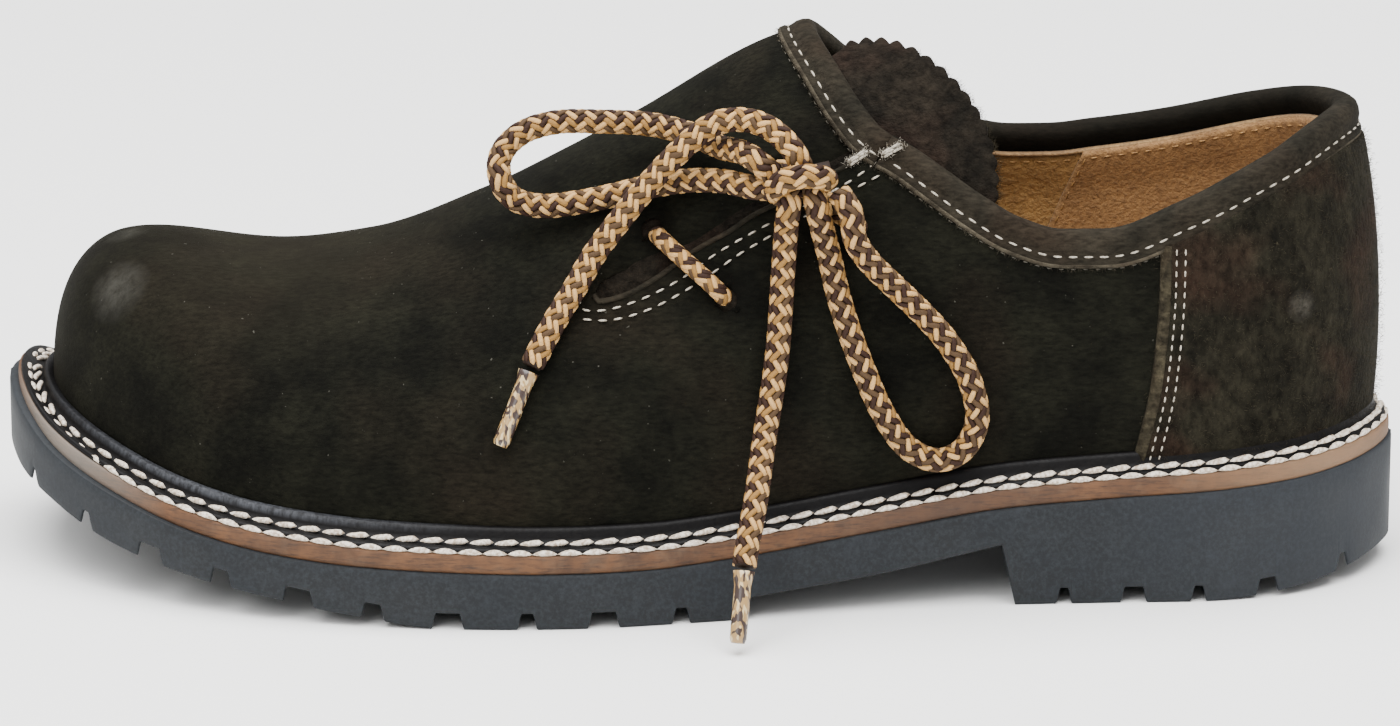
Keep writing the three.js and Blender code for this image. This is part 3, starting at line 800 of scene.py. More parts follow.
def relief(u, v, below):
    """How far the leather stands out of the last's surface, in millimetres."""
    points = last_point(u, v)
    height = np.zeros(points.shape[:-1])
    outer = points[..., 1] < last["ridge"](points[..., 0])
    for depth, width, which, line in CREASES:
        far, share = distance_to(points[..., ::2], line)
        fade = np.sin(np.pi * np.clip(share, 0.06, 0.94)) ** 0.7
        height -= np.where(outer == (which < 0), depth * fade * np.exp(-((far / width) ** 2)), 0)
    x = points[..., 0]
    seam = [(a, (b + c) / 2) for a, b, c in SLIT]
    far, _ = distance_to(points[..., ::2], seam)
    opened = ease(x, SLIT_FROM, SLIT_FROM + 9) * outer
    if below:
        height += 0.5 * opened * np.exp(-((far / 4) ** 2))
    else:
        height -= (1.6 * np.exp(-((far / 4.5) ** 2))) * opened
    for at, tall in EYELETS:
        far = np.hypot(points[..., 0] - at, points[..., 2] - tall)
        height -= np.where(outer, 0.7 * np.exp(-((far / 5) ** 2)), 0)
    return height


def punched(points, cells, centre, normal, radius):
    """The cells without those inside a circle, whose near points are drawn onto the circle."""
    away = points - centre
    depth = away @ normal
    flat = away - depth[:, None] * normal
    reach = np.linalg.norm(flat, axis=1)
    near = np.abs(depth) < 4
    drop = (near & (reach < radius))[cells].all(1)
    cells = cells[~drop]
    rim = near & (reach < radius * 1.22)
    pull = np.where(rim, radius / np.maximum(reach, 0.1), 1)
    return points + flat * (pull - 1)[:, None], cells


def laid(u_v, below):
    """A patch's grid of points with the relief on it."""
    u, v = u_v
    return lifted(u, v, relief(u, v, below))


points, cells = joined(
    grid(laid(lower_patch, True)), grid(laid(upper_patch, False)), grid(laid(inner_patch, False))
)
for at, tall in EYELETS:
    u, v = find(at, tall)
    points, cells = punched(points, cells, lifted(u, v, -0.6), last_normal(u, v), EYELET_RADIUS)
piece("upper_nubuck", (points, cells), nubuck, "upper", thickness=LEATHER)

# %% [markdown]
# ## Lines on the last
# Bands, edges and seams all follow a line on the last. A line keeps its places as u and v, the
# points there, and the heading that lies in the surface square to the line. The topline is one
# such line: it starts at the slit, climbs over the throat, runs back along the inner side, goes
# round the heel and comes forward to the slit again.

# %% Lines, and what lies beside them
def line_on_last(u, v, spacing):
    """A line of u and v as evenly spaced places, with the heading square to it in the surface."""
    points = last_point(u, v)
    far = np.concatenate([[0], np.cumsum(np.linalg.norm(np.diff(points, axis=0), axis=1))])
    count = max(2, round(far[-1] / spacing) + 1)
    picked = np.abs(far - np.linspace(0, far[-1], count)[:, None]).argmin(1)
    u, v, points = u[picked], v[picked], points[picked]
    ahead = np.gradient(points, axis=0)
    heading = np.cross(last_normal(u, v), ahead)
    return {"u": u, "v": v, "heading": heading / np.linalg.norm(heading, axis=1, keepdims=True)}


def beside(line, away, out):
    """Points a distance away from a line along the surface, and a distance out of the surface."""
    u, v = line["u"], line["v"]
    if away > 0:
        u, v = walk(u, v, line["heading"], away, steps=math.ceil(away / 1.5))
    out = np.broadcast_to(out, u.shape)
    return lifted(u, v, out) + line["heading"] * min(away, 0)


def swept(line, profile):
    """A closed profile of (away, out) carried along a line, with both ends drawn to a point."""
    rows = np.stack([beside(line, away, out) for away, out in profile])
    ends = rows.mean(0, keepdims=True)[:, [0, -1]]
    cap = np.broadcast_to(ends, (len(profile), 2, 3))
    return grid(np.concatenate([cap[:, :1], rows, cap[:, 1:]], 1), round_rows=True)


def face_out(made):
    """Turns a closed piece's faces outwards."""
    bpy.context.view_layer.objects.active = made
    made.select_set(True)
    bpy.ops.object.mode_set(mode="EDIT")
    bpy.ops.mesh.select_all(action="SELECT")
    bpy.ops.mesh.normals_make_consistent(inside=False)
    bpy.ops.object.mode_set(mode="OBJECT")
    made.select_set(False)
    return made


dense = np.linspace(0, 1, 1500)
over_throat = throat + (corner - throat) * dense[::-1] ** 2
inner_run = 1 - (throat + (0.5 - throat) * dense**1.6)
outer_run = 0.5 + (corner - 0.5) * dense
topline_u = np.concatenate([over_throat, inner_run, outer_run])
topline_v = climb_to(topline_u, topline_height)
rim = line_on_last(topline_u, topline_v, 1.3)
print("topline", round(1.3 * len(rim["u"])), "mm round")

# %% [markdown]
# ## Topline band
# The edge of the collar is a strip of nubuck rolled over it and padded, then stitched through. Its
# section is drawn once, from the cut edge outside, over the roll, down to its end inside, and
# carried along the topline. Its lower edge is left as the knife cut it, so it shows paler.

# %% Topline band
BAND = 7.5  # how far the strip reaches down outside
band_section = [  # distance below the topline, distance out of the last
    (BAND, 0.05),
    (BAND + 0.1, 0.7),
    (BAND - 0.3, 1.15),
    (BAND - 1.1, 1.2),
    (5.6, 0.8),
    (4.8, 1.05),
    (3.8, 1.45),
    (2.4, 1.6),
    (1.2, 1.4),
    (0.4, 0.8),
    (0, 0),
    (-0.2, -1.3),
    (-0.2, -2.9),
    (0.6, -3.9),
    (1.9, -4.3),
    (3.6, -4.1),
    (5.4, -3.6),
    (6.6, -3.1),
    (6.2, -2.4),
    (3, -1.2),
    (5, -0.4),
]
face_out(piece("topline_band", swept(rim, band_section), band_nubuck, "topline_binding"))
cut_section = [
    (BAND - 0.5, 1.15),
    (BAND + 0.15, 1.1),
    (BAND + 0.55, 0.6),
    (BAND + 0.5, 0),
    (BAND - 0.4, 0.1),
]
face_out(piece("topline_cut_edge", swept(rim, cut_section), raw_edge))

# %% [markdown]
# ## Stitches and loose fibres
# A sewn seam is a row of short lengths of thread, each pulled down into the leather at both ends.
# One stitch is a small pillow: a round section that shrinks to nothing at its ends and sinks
# there. A row is that pillow at even steps along a line, bent along with it, as one mesh. Cut
# leather and suede also shed fibres. Particle hair would be lost in the export, so they are
# slivers with a few faces each, scattered over an edge and joined as one mesh.

# %% Thread, stitches and fibres
def thread_material(name, tint, shade, twist=0.5):
    """Twisted thread: two tones along its plies, waxed enough for a soft gloss."""
    material, place = blank(name)
    ply = noise(material, place, twist, 2, 0.5)
    tone = blend(material, spread(material, ply, 0.35, 0.6), colour(shade), colour(tint))
    bump = add(material, "Bump", {"Height": ply, "Strength": 0.4, "Distance": 0.1 * MM})
    inputs = {"Base Color": tone, "Roughness": 0.6, "Normal": bump.outputs[0]}
    return finish(material, add(material, "BsdfPrincipled", inputs))


# Sizes of three seams: from one stitch to the next, then the stitch itself.
UPPER_SEAM = {"pitch": 3.3, "length": 2.1, "width": 0.46, "height": 0.24}
COUNTER_SEAM = {"pitch": 2.3, "length": 1.6, "width": 0.42, "height": 0.22}
LINING_SEAM = {"pitch": 3, "length": 1.9, "width": 0.4, "height": 0.2}
white_thread = thread_material("polyester_thread_white", "#bdb5a6", "#8d8576")
faded_thread = thread_material("polyester_thread_dusty", "#5c574c", "#3c382f")
ochre_thread = thread_material("linen_thread_ochre", "#a67d47", "#6d4b27")
welt_thread = thread_material("waxed_linen_welt_thread", "#e4dacb", "#a3907c", twist=0.7)


def row_of_stitches(
    points, normals, pitch, length, width, height, lean=0.0, start=0.5, fall=0.6, blunt=2.6
):
    """Pillows along a line. Along one, t runs from -1 to 1: its half-width and height shrink with
    a power of t, the blunter the higher, it leans across by lean * sin(t pi / 2), and both ends
    fall below its middle."""
    far = np.concatenate([[0], np.cumsum(np.linalg.norm(np.diff(points, axis=0), axis=1))])
    middles = np.arange(start * pitch, far[-1] - length / 2, pitch)
    t = np.linspace(-1, 1, 7)
    turn = np.arange(6) * np.pi / 3
    at = middles[:, None] + t * length / 2

    def along_line(values):
        return np.stack([np.interp(at, far, values[:, k]) for k in range(3)], -1)[:, :, None]

    ahead = along_line(np.gradient(points, far, axis=0))
    up = along_line(normals)
    across = np.cross(up, ahead)
    across /= np.linalg.norm(across, axis=-1, keepdims=True)
    shrink = (1 - np.abs(t) ** blunt) ** (0.5 if blunt > 2 else 1)
    sideways = shrink[:, None] * np.cos(turn) * width / 2 + lean * np.sin(t[:, None] * np.pi / 2)
    sideways = sideways[None, :, :, None]
    rise = (shrink[:, None] * np.sin(turn) * height - fall * height * t[:, None] ** 2)[None, :, :, None]
    rings = along_line(points) + across * sideways + up * rise
    count, steps, sides = rings.shape[:3]
    index = np.arange(count * steps * sides).reshape(count, steps, sides)
    ahead_index, next_side = index[:, 1:], np.roll(index, -1, axis=2)
    cells = np.stack([index[:, :-1], ahead_index, next_side[:, 1:], next_side[:, :-1]], -1)
    return rings.reshape(-1, 3), cells.reshape(-1, 4)


def seam(name, line, away, out, thread=None, **sizes):
    """A row of stitches a distance away from a line on the last, and a distance out of it."""
    u, v = line["u"], line["v"]
    if away > 0:
        u, v = walk(u, v, line["heading"], away, steps=math.ceil(away / 1.5))
    points = lifted(u, v, np.broadcast_to(out, u.shape)) + line["heading"] * min(away, 0)
    row = row_of_stitches(points, last_normal(u, v), **sizes)
    return face_out(piece(name, row, thread or white_thread))


FIBRE = 0.05  # radius of a fibre's foot


def fibres(name, points, normals, count, length, material, seed, loose=0.7, scatter=0.3):
    """Loose fibres: thin slivers with three sides. Each stands near a point picked at random, off by
    about scatter millimetres, and leans from that point's normal by a random share of loose."""
    dice = np.random.default_rng(seed)
    picked = dice.integers(0, len(points), count)

    def unit(vectors):
        return vectors / np.linalg.norm(vectors, axis=-1, keepdims=True)

    way = unit(normals[picked] + loose * dice.normal(size=(count, 3)))
    foot = points[picked] + scatter * dice.normal(size=(count, 3))
    side_way = unit(np.cross(way, dice.normal(size=(count, 3))))
    third = np.cross(way, side_way)
    turn = (np.arange(3) * 2 * np.pi / 3)[:, None]
    base = foot[:, None] + FIBRE * (np.cos(turn) * side_way[:, None] + np.sin(turn) * third[:, None])
    tips = foot + way * length * dice.uniform(0.35, 1, (count, 1))
    corners = np.concatenate([base, tips[:, None]], axis=1).reshape(-1, 3)
    index = np.arange(4 * count).reshape(count, 4)
    faces = ([0, 1, 3], [1, 2, 3], [2, 0, 3], [2, 1, 0])
    cells = np.concatenate([index[:, face] for face in faces])
    return piece(name, (corners, cells), material, welded=False)


# A white row on the band, and below its edge a finer, dusty one that goes through to the lining.
seam("topline_stitches", rim, 5.6, 0.92, **UPPER_SEAM)
seam(
    "topline_under_stitches", rim, BAND + 0.8, 0.05, faded_thread,
    pitch=2.6, length=1.1, width=0.26, height=0.1,
)
cut_u, cut_v = walk(rim["u"], rim["v"], rim["heading"], BAND + 0.4, steps=5)
cut_points = lifted(cut_u, cut_v, np.full(cut_u.shape, 0.6))
cut_ways = last_normal(cut_u, cut_v) * 0.5 + rim["heading"]
fibres("topline_edge_fibres", cut_points, cut_ways, 2600, 1.2, raw_edge, seed=1)

# %% [markdown]
# ## Slit edges
# The quarter's lip along the slit is a cut edge, pressed flat and a little proud, with two rows of
# stitches below it that hold the lace facing inside. At its upper end, where it meets the band, both
# are tacked down by hand with a few doubled stitches whose thread has frayed.

# %% Slit edges and stitches
STEEP = 12  # millimetres over which the lip turns up from its start, and needs closer points
past_start = np.linspace(0, 1, 700)[1:] ** 2 * STEEP
lip_x = SLIT_FROM + np.concatenate([past_start, np.linspace(STEEP, SLIT_TO - SLIT_FROM, 1200)])
lip_line = line_on_last(*find(lip_x, slit["lip"](lip_x)), 0.9)
lip_section = [(-0.5, 0.3), (-0.25, 0.85), (0.25, 0.95), (0.6, 0.6), (0.5, 0.1), (-0.4, -0.5)]
face_out(piece("slit_lip_edge", swept(lip_line, lip_section), band_nubuck))


def side_line(places, spacing=0.9, inner=False):
    """A line on the last through places given as seen from the side."""
    places = np.array(places, float)
    padded = np.concatenate([[2 * places[0] - places[1]], places, [2 * places[-1] - places[-2]]])
    t = np.linspace(0, 1, 60, endpoint=False)[:, None]
    runs = [
        spline(*(np.broadcast_to(p, (60, 2)) for p in padded[k : k + 4]), t)
        for k in range(len(places) - 1)
    ]
    dense = np.concatenate(runs)
    return line_on_last(*find(dense[:, 0], dense[:, 1], inner=inner), spacing)


UPPER_ROW = [
    (127, 67.8), (126.6, 65), (130.7, 64.6), (139.2, 66.9), (147.7, 71), (156.1, 76.6),
    (166.8, 82.3), (182.7, 89.9), (191.6, 95.9),
]
LOWER_ROW = [
    (126.4, 62.9), (132.8, 62.9), (141.3, 65.2), (151.9, 70.7), (160.4, 76.3), (167.8, 80.3),
    (186.9, 90.2), (193.2, 93.4),
]
seam("slit_stitches_upper", side_line(UPPER_ROW), 0, 0.45, **UPPER_SEAM)
seam("slit_stitches_lower", side_line(LOWER_ROW), 0, 0.45, **UPPER_SEAM)

# %% Tacks at the corner
for name, places, out in (
    ("corner_tack_front", [(183.4, 93.6), (185.6, 95), (188, 96.4)], 1.2),
    ("corner_tack_back", [(190.6, 95.2), (192.8, 96.4), (195.2, 97.6)], 1.9),
):
    line = side_line(places, 0.3)
    u, v = line["u"], line["v"]
    strands = []
    for shift, start, rise in ((-0.45, 0.6, 0), (0.05, 0.8, 0.15), (0.5, 0.65, 0)):
        middle = lifted(u, v, np.full(u.shape, out + rise)) + line["heading"] * shift
        strand = row_of_stitches(
            middle, last_normal(u, v), pitch=2.2, length=2.6, width=0.6, height=0.35, start=start
        )
        strands.append(strand)
    face_out(piece(name, joined(*strands), white_thread))
    fibres(
        name + "_fibres", lifted(u, v, np.full(u.shape, out)), last_normal(u, v), 160, 1.6,
        white_thread, seed=5, loose=1.2, scatter=0.5,
    )

# %% [markdown]
# ## Heel counter
# A second, rougher leather is sewn over the back of the heel. Its front edges are pared down and
# left raw, with two rows of stitches behind them. As a surface it lies a leather's thickness out
# of the last between a front edge on each side, the welt and the band. Its long nap shows against
# the light as a fringe of fibres at the back.

# %% Heel counter
COUNTER_EDGE = [(30, 244.5), (49, 248.2), (69, 249.6), (90, 249.8)]  # height, place
COUNTER = 1.5  # how far its surface stands out of the last
COUNTER_ROWS = 44
counter_edge = through(*zip(*COUNTER_EDGE))


def counter_grid():
    """u and v of the counter: from its front edge on the outer side round to the inner side."""
    tall = np.linspace(0, 1, COUNTER_ROWS)[:, None]
    round_heel = np.linspace(0, 1, 150)[None, :]
    u = 0.42 + 0.16 * round_heel + 0 * tall
    for _ in range(3):
        top = climb_to(u, lambda point: topline_height(point) - BAND + 0.6)
        low = climb_to(u, lambda point: midsole_top(point[..., 0]) + 2.5)
        v = low + (top - low) * tall
        ends = []
        for flip in (0, 1):
            v_end = v[:, -flip]
            turned = (lambda s: 1 - s) if flip else (lambda s: s)

            def ahead(s):
                point = last_point(turned(s), v_end)
                return point[:, 0] < counter_edge(point[:, 2])

            low_u, high_u = np.full(COUNTER_ROWS, 0.3), np.full(COUNTER_ROWS, 0.5)
            ends.append(turned(halve(low_u, high_u, ahead, steps=20)))
        u = ends[0][:, None] + (ends[1] - ends[0])[:, None] * round_heel
    return u, v


counter_u, counter_v = counter_grid()
counter_points = last_point(counter_u, counter_v)
from_edge = np.minimum(
    np.linalg.norm(counter_points - counter_points[:, :1], axis=-1),
    np.linalg.norm(counter_points - counter_points[:, -1:], axis=-1),
)
from_band = np.linalg.norm(counter_points - counter_points[-1], axis=-1)
counter_out = 0.25 + (COUNTER - 0.25) * ease(from_edge, 0, 2.4) * ease(from_band, -0.8, 1.8)
counter_skin = lifted(counter_u, counter_v, counter_out)
piece(
    "heel_counter_suede", grid(counter_skin), counter_suede, "heel_counter",
    thickness=1.2,
)
fibres(
    "counter_fibres", counter_skin.reshape(-1, 3), last_normal(counter_u, counter_v).reshape(-1, 3),
    14000, 1.5, pared_edge, seed=3, loose=1.0, scatter=0.5,
)

# %% Raw front edges of the counter, and their stitches
raw_section = [(-0.1, 0.05), (0.2, 0.75), (1.1, 1.45), (2.0, 1.75), (2.3, 1.5), (1.5, 0.2)]
for name, inner, edge_top in (("outer", False, 78), ("inner", True, 86.5)):
    tall = np.linspace(27.5, edge_top, 500)
    edge_line = line_on_last(*find(counter_edge(tall), tall, inner=inner), 0.9)
    edge_line["heading"] *= np.sign(edge_line["heading"][:, 0].mean())
    cut = swept(edge_line, raw_section)
    face_out(piece(f"counter_cut_edge_{name}", cut, pared_edge))
    for row, away in (("front", 3.3), ("back", 5.2)):
        seam(f"counter_stitches_{row}_{name}", edge_line, away, COUNTER, **COUNTER_SEAM)

# %% [markdown]
# ## Tongue
# The tongue is a sheet of suede under the slit. Its end fans out above the topline, and its rim is
# pinked, that is cut into small teeth so that it doesn't fray. Rays from the fan's middle run
# to that rim, and each point of a ray is laid on a surface just inside the upper.

# %% Tongue
FAN = {"at": 190.5, "height": 90, "radius": 23.8, "from": 108, "to": -18, "teeth": 16}
POINTS_PER_TOOTH = 16
TONGUE_ROOT = [(205, 80), (176, 68), (134, 56), (124, 62), (128, 80), (160, 100)]
TONGUE = 1.8  # thickness


def pinked_rim():
    """The rim's angle and reach. On the fan a tooth adds 0.75 * (1 - |2t - 1|^1.5) as t goes from 0
    to 1 over it. Below, straight lines join the root's corners."""
    middle = np.array([FAN["at"], FAN["height"]])
    angle = np.linspace(FAN["from"], FAN["to"], POINTS_PER_TOOTH * FAN["teeth"] + 1)
    tooth = np.mod(np.linspace(0, FAN["teeth"], len(angle)), 1)
    saw = 1 - np.abs(2 * tooth - 1) ** 1.5
    reach = FAN["radius"] + 0.5 + 0.75 * saw

    def fan_point(k):
        turn = np.radians(angle[k])
        return middle + reach[k] * np.array([np.cos(turn), np.sin(turn)])

    path = np.array([fan_point(-1), *TONGUE_ROOT, fan_point(0)])
    t = np.linspace(0, 1, 14, endpoint=False)[:, None]
    root = np.concatenate([a + (b - a) * t for a, b in zip(path[:-1], path[1:])]) - middle
    root_angle = np.degrees(np.arctan2(root[:, 1], root[:, 0]))
    root_angle = np.where(root_angle > FAN["to"] + 1, root_angle - 360, root_angle)
    return np.radians(np.append(angle, root_angle)), np.append(reach, np.hypot(*root.T))


rim_angle, rim_reach = pinked_rim()
ray = np.linspace(0.04, 1, 16)[:, None] ** 0.8
tongue_x = FAN["at"] + ray * rim_reach * np.cos(rim_angle)
tongue_z = FAN["height"] + ray * rim_reach * np.sin(rim_angle)
tongue_by = -WALL - GAP
tongue_z = np.minimum(tongue_z, last["crown"](tongue_x) + tongue_by - 0.4)
tongue_u, tongue_v = find(tongue_x, tongue_z, by=tongue_by)
swell = 0.5 * np.sin(tongue_x / 5.5) * np.sin(tongue_z / 7) * ray
tongue_points = lifted(tongue_u, tongue_v, tongue_by + swell)
hub = np.broadcast_to(tongue_points[0].mean(0), tongue_points[:1].shape)
piece(
    "tongue_pinked_suede",
    grid(np.concatenate([hub, tongue_points])[::-1], round_columns=True),
    tongue_suede,
    "tongue",
    thickness=TONGUE,
)

rim_points = tongue_points[-1]
rim_ways = rim_points - tongue_points[-4]
rim_ways /= np.linalg.norm(rim_ways, axis=1, keepdims=True) + 1e-9
on_fan = rim_points[:, 2] > 84
fibres(
    "tongue_rim_fibres", rim_points[on_fan], rim_ways[on_fan], 1200, 1.3, pared_edge,
    seed=2, loose=0.6,
)

# %% [markdown]
# ## Sole
# The outsole is one moulding of grey-blue rubber. Every station along it is a closed section: over
# the underside from edge to edge, up one wall, across the top and down the other. Stations stand
# exactly at the corners of each notch, so that the lugs come out sharp without any boolean.

# %% Where the tread is cut
LUG_DEPTH = 3.5
LUG_REACH = 17  # from the edge of the sole to the channel behind the lugs
CHANNEL = 5  # width of that channel
FORE_NOTCHES = [  # place, width at the mouth
    (7, 1.6), (19.4, 2.6), (33.9, 5.6), (49.6, 4.4), (66.4, 6.4), (82.4, 4.6), (98.4, 6.4),
    (115.3, 3.8), (131.6, 6.3), (148, 3.5),
]
HEEL_NOTCHES = [(230, 3), (245, 5.2), (259, 3), (274, 4.6), (291, 2.6)]
WAIST = [(162, 4.7), (191, 8.3), (216.5, 13.4)]  # place, height of the arch
BREAST_FOOT = 219.5  # where the front face of the heel block ends below
waist = through(*zip(*WAIST))


def underside(x):
    """Height of the tread, and of the arched waist between the forefoot and the heel's breast."""
    breast = WAIST[-1][1] * (BREAST_FOOT - x) / (BREAST_FOOT - WAIST[-1][0])
    start = 2 * WAIST[0][1] * (x - WAIST[0][0])
    arch = np.minimum(np.minimum(waist(x), breast), start)
    return np.where((x > WAIST[0][0]) & (x < BREAST_FOOT), np.maximum(arch, 0), side["tread"](x))


def trench(x, centre, width):
    """Depth of a notch with slanted flanks, eased at the floor's and at the mouth's corners."""
    return LUG_DEPTH * ease(width / 2 - np.abs(x - centre), -0.3, 0.8)


def between(places):
    """A groove halfway between each two of the inner notches, as wide as the first of them."""
    inner = places[1:-1]
    return [((a + b) / 2, width) for (a, width), (b, _) in zip(inner[:-1], inner[1:])]


notches = FORE_NOTCHES + HEEL_NOTCHES
grooves = between(FORE_NOTCHES) + between(HEEL_NOTCHES)


def cuts(x, places):
    """The deepest of several trenches at x."""
    return np.max([trench(x, centre, width) for centre, width in places], axis=0)


flank = np.array([-0.32, -0.1, 0.1, 0.4, 0.6, 0.82])
corners = [at + flip * (width / 2 - flank) for at, width in notches + grooves for flip in (-1, 1)]
corners = np.concatenate(corners)
ends = SOLE_LENGTH * (1 - np.cos(np.linspace(0.015, 0.5, 40))) / 2
waist_marks = (WAIST[0][0], WAIST[0][0] + 0.5, WAIST[-1][0], BREAST_FOOT)
plain = np.arange(18, SOLE_LENGTH - 18, 1.3)
at_x = np.unique(np.concatenate([ends, SOLE_LENGTH - ends, plain, waist_marks, corners]).round(3))
at_x = at_x[np.append(True, np.diff(at_x) > 0.04)]
print(len(notches), "notches,", len(grooves), "grooves,", len(at_x), "stations")

# %% [markdown]
# ## Across the sole
# At each station the section is worked out from the edge inwards: lugs, the channel behind them,
# then the plainer middle with its cross grooves. The wall above has eased corners, because rubber
# comes rounded out of its mould, and a sharp edge would catch no light.

# %% Across each station
loop = outline(np.linspace(0, 1, 900, endpoint=False))


def inset_of(x, y):
    """How far a place on the sole lies inside its outline."""
    return np.sqrt(np.min((x[..., None] - loop[:, 0]) ** 2 + (y[..., None] - loop[:, 1]) ** 2, axis=-1))


def outline_u(x, inner):
    """u of the outline at a place along the sole, on one side."""
    turned = (lambda s: 1 - s) if inner else (lambda s: s)
    zero = np.zeros(x.shape)
    return turned(halve(zero, zero + 0.5, lambda s: outline(turned(s))[..., 0] < x, steps=26))


u_side = {inner: outline_u(at_x, inner) for inner in (False, True)}
y_edge = {inner: outline(u_side[inner])[:, 1] for inner in (False, True)}
y_middle = (y_edge[False] + y_edge[True]) / 2


def y_at(inner, depth):
    """y of the line that lies a depth inside the outline, or the middle where there is none."""
    across = y_middle - y_edge[inner]
    zero = np.zeros(at_x.shape)
    share = halve(zero, zero + 1, lambda t: inset_of(at_x, y_edge[inner] + across * t) < depth, steps=14)
    return y_edge[inner] + across * share


def bottom_half(inner):
    """Heights and y over half of the underside, from the edge to the middle."""
    lug, middle = y_at(inner, LUG_REACH), y_at(inner, LUG_REACH + CHANNEL)
    inwards = 1 if not inner else -1
    held = lambda y: np.where(inwards * (y_middle - y) > 0, y, y_middle)
    rows = [(y_edge[inner] + (lug - y_edge[inner]) * t, "lug") for t in (0.12, 0.4, 0.7, 0.97)]
    rows += [(lug, "lug"), (held(lug + inwards * 0.5), "channel"), (held(middle - inwards * 0.5), "channel")]
    rows += [(middle, "middle")]
    rows += [(middle + (y_middle - middle) * t, "middle") for t in (0.2, 0.45, 0.7, 1)]
    notched, grooved = cuts(at_x, notches), cuts(at_x, grooves)
    treaded = (at_x < WAIST[0][0] - LUG_REACH / 2) | (at_x > BREAST_FOOT + LUG_REACH / 2)
    depth = {"lug": notched, "channel": LUG_DEPTH * treaded, "middle": np.maximum(grooved, 0)}
    depth["channel"] = np.maximum(depth["channel"], np.maximum(notched, grooved))
    low = underside(at_x)
    return [np.stack([at_x, y, low + depth[kind]], -1) for y, kind in rows]


def wall_half(inner):
    """The rounded wall, from the top edge of the rubber down to the edge of the tread."""
    u = u_side[inner]
    top, low = side["rubber"](at_x), underside(at_x) + cuts(at_x, notches)
    rows = [(inset_by, top - drop) for inset_by, drop in ((3, 0), (0.7, 0), (0.25, 0.2), (0, 0.7))]
    rows += [(0, top - share * (top - low)) for share in (0.33, 0.66)]
    corner_rows = ((0, 0.8), (0.15, 0.3), (0.6, 0))
    rows += [(inset_by, np.minimum(low + rise, top - 1)) for inset_by, rise in corner_rows]
    placed = []
    for inset_by, height in rows:
        plan = edge(u, inset_by)
        placed.append(np.stack([plan[:, 0], plan[:, 1], height], -1))
    return placed


def outsole_points():
    """Every station's closed section, with a closing edge at the toe and at the heel."""
    ring = wall_half(False) + bottom_half(False) + bottom_half(True)[-2::-1] + wall_half(True)[::-1]
    points = np.stack(ring)
    caps = []
    for place in (0, -1):
        cap = points[:, place].copy()
        cap[:, 0] = outline(np.array([0.0 if place == 0 else 0.5]))[0, 0]
        cap[:, 1] = y_middle[place]
        caps.append(cap[:, None])
    return np.concatenate([caps[0], points, caps[1]], axis=1)


print("sole is", (y_edge[True] - y_edge[False]).max().round(1), "mm wide")

# %% [markdown]
# ## Rubber
# The rubber is dark grey with a blue cast. Its fine mould grain breaks the gloss up, and dust in it
# makes the toe and the back of the heel paler than the waist.

# %% Rubber, and the outsole
def rubber_material():
    """Moulded rubber: grey-blue, with a fine mould grain, dust in it and a low soft gloss."""
    material, place = blank("moulded_rubber_grey")
    cloud = noise(material, place, 16, 4, 0.6)
    grain = noise(material, place, 0.9, 3, 0.7)
    tone = blend(material, spread(material, cloud, 0.35, 0.7), colour("#0d1013"), colour("#15181c"))
    tone = blend(material, spread(material, grain, 0.42, 0.68, 0, 0.6), tone, colour("#24292d"))
    dust = spread(material, noise(material, place, 4, 5, 0.75), 0.5, 0.74, 0, 0.35)
    tone = blend(material, dust, tone, colour("#2a2e33"))
    tone = wear_and_painted_light(material, tone, place, (0, -10, 16), 60, 0.4, "#2c2f33")
    tone = wear_and_painted_light(material, tone, place, (292, -20, 16), 60, 0.4, "#30343a")
    bump = add(material, "Bump", {"Height": grain, "Strength": 0.35, "Distance": 0.12 * MM})
    rough = spread(material, cloud, 0.3, 0.7, 0.62, 0.78)
    inputs = {"Base Color": tone, "Roughness": rough, "Normal": bump.outputs[0], "Specular IOR Level": 0.3}
    return finish(material, add(material, "BsdfPrincipled", inputs))


def sharpened(made, degrees=32):
    """Edges sharper than an angle stay sharp under the smooth shading."""
    made.data.set_sharp_from_angle(angle=math.radians(degrees))
    return made


outsole_grid = grid(outsole_points(), round_rows=True)
outsole = piece("outsole_rubber", outsole_grid, rubber_material(), "outsole")
sharpened(face_out(outsole))

# %% [markdown]
# ## Midsole, welt and insole
# The layers above follow the outline too. A layer is a list of rows, each a distance inside the
# outline and a height; a row in the middle of the sole closes it. The leather's edge is scraped grey
# at the toe, darker low at the waist and freshest at the heel.

# %% Layers
around = np.linspace(0, 1, 640, endpoint=False)  # u of a layer's columns


def layer_row(by, height):
    """A row round the outline at a distance inside it and a height, both of which may depend on x."""
    plan = edge(around, by)
    tall = height(plan[:, 0]) if callable(height) else height
    return np.stack([plan[:, 0], plan[:, 1], tall], -1)


def middle_row(height):
    """A row on the sole's middle line: the mean of the two sides."""
    plan = (edge(around, 12) + edge(-around, 12)) / 2
    return np.stack([plan[:, 0], plan[:, 1], height(plan[:, 0])], -1)


def midsole_rows():
    """The leather layer's rows: its underside, its cut edge with eased corners, and its top."""
    low, high = side["rubber"], midsole_top
    rows = [middle_row(low), layer_row(12, low)]
    rim = [(0.9, low, 0.0), (0.2, low, 0.05), (0.0, low, 0.5), (-0.1, low, 1.6), (-0.05, high, -1.2)]
    rim += [(0.05, high, -0.45), (0.35, high, -0.1), (0.9, high, 0)]
    for by, base, rise in rim:
        rows.append(layer_row(lambda x, by=by: inset["midsole"](x) + by, lambda x, r=rise, b=base: b(x) + r))
    return np.stack([*rows, layer_row(12, high), middle_row(high)])


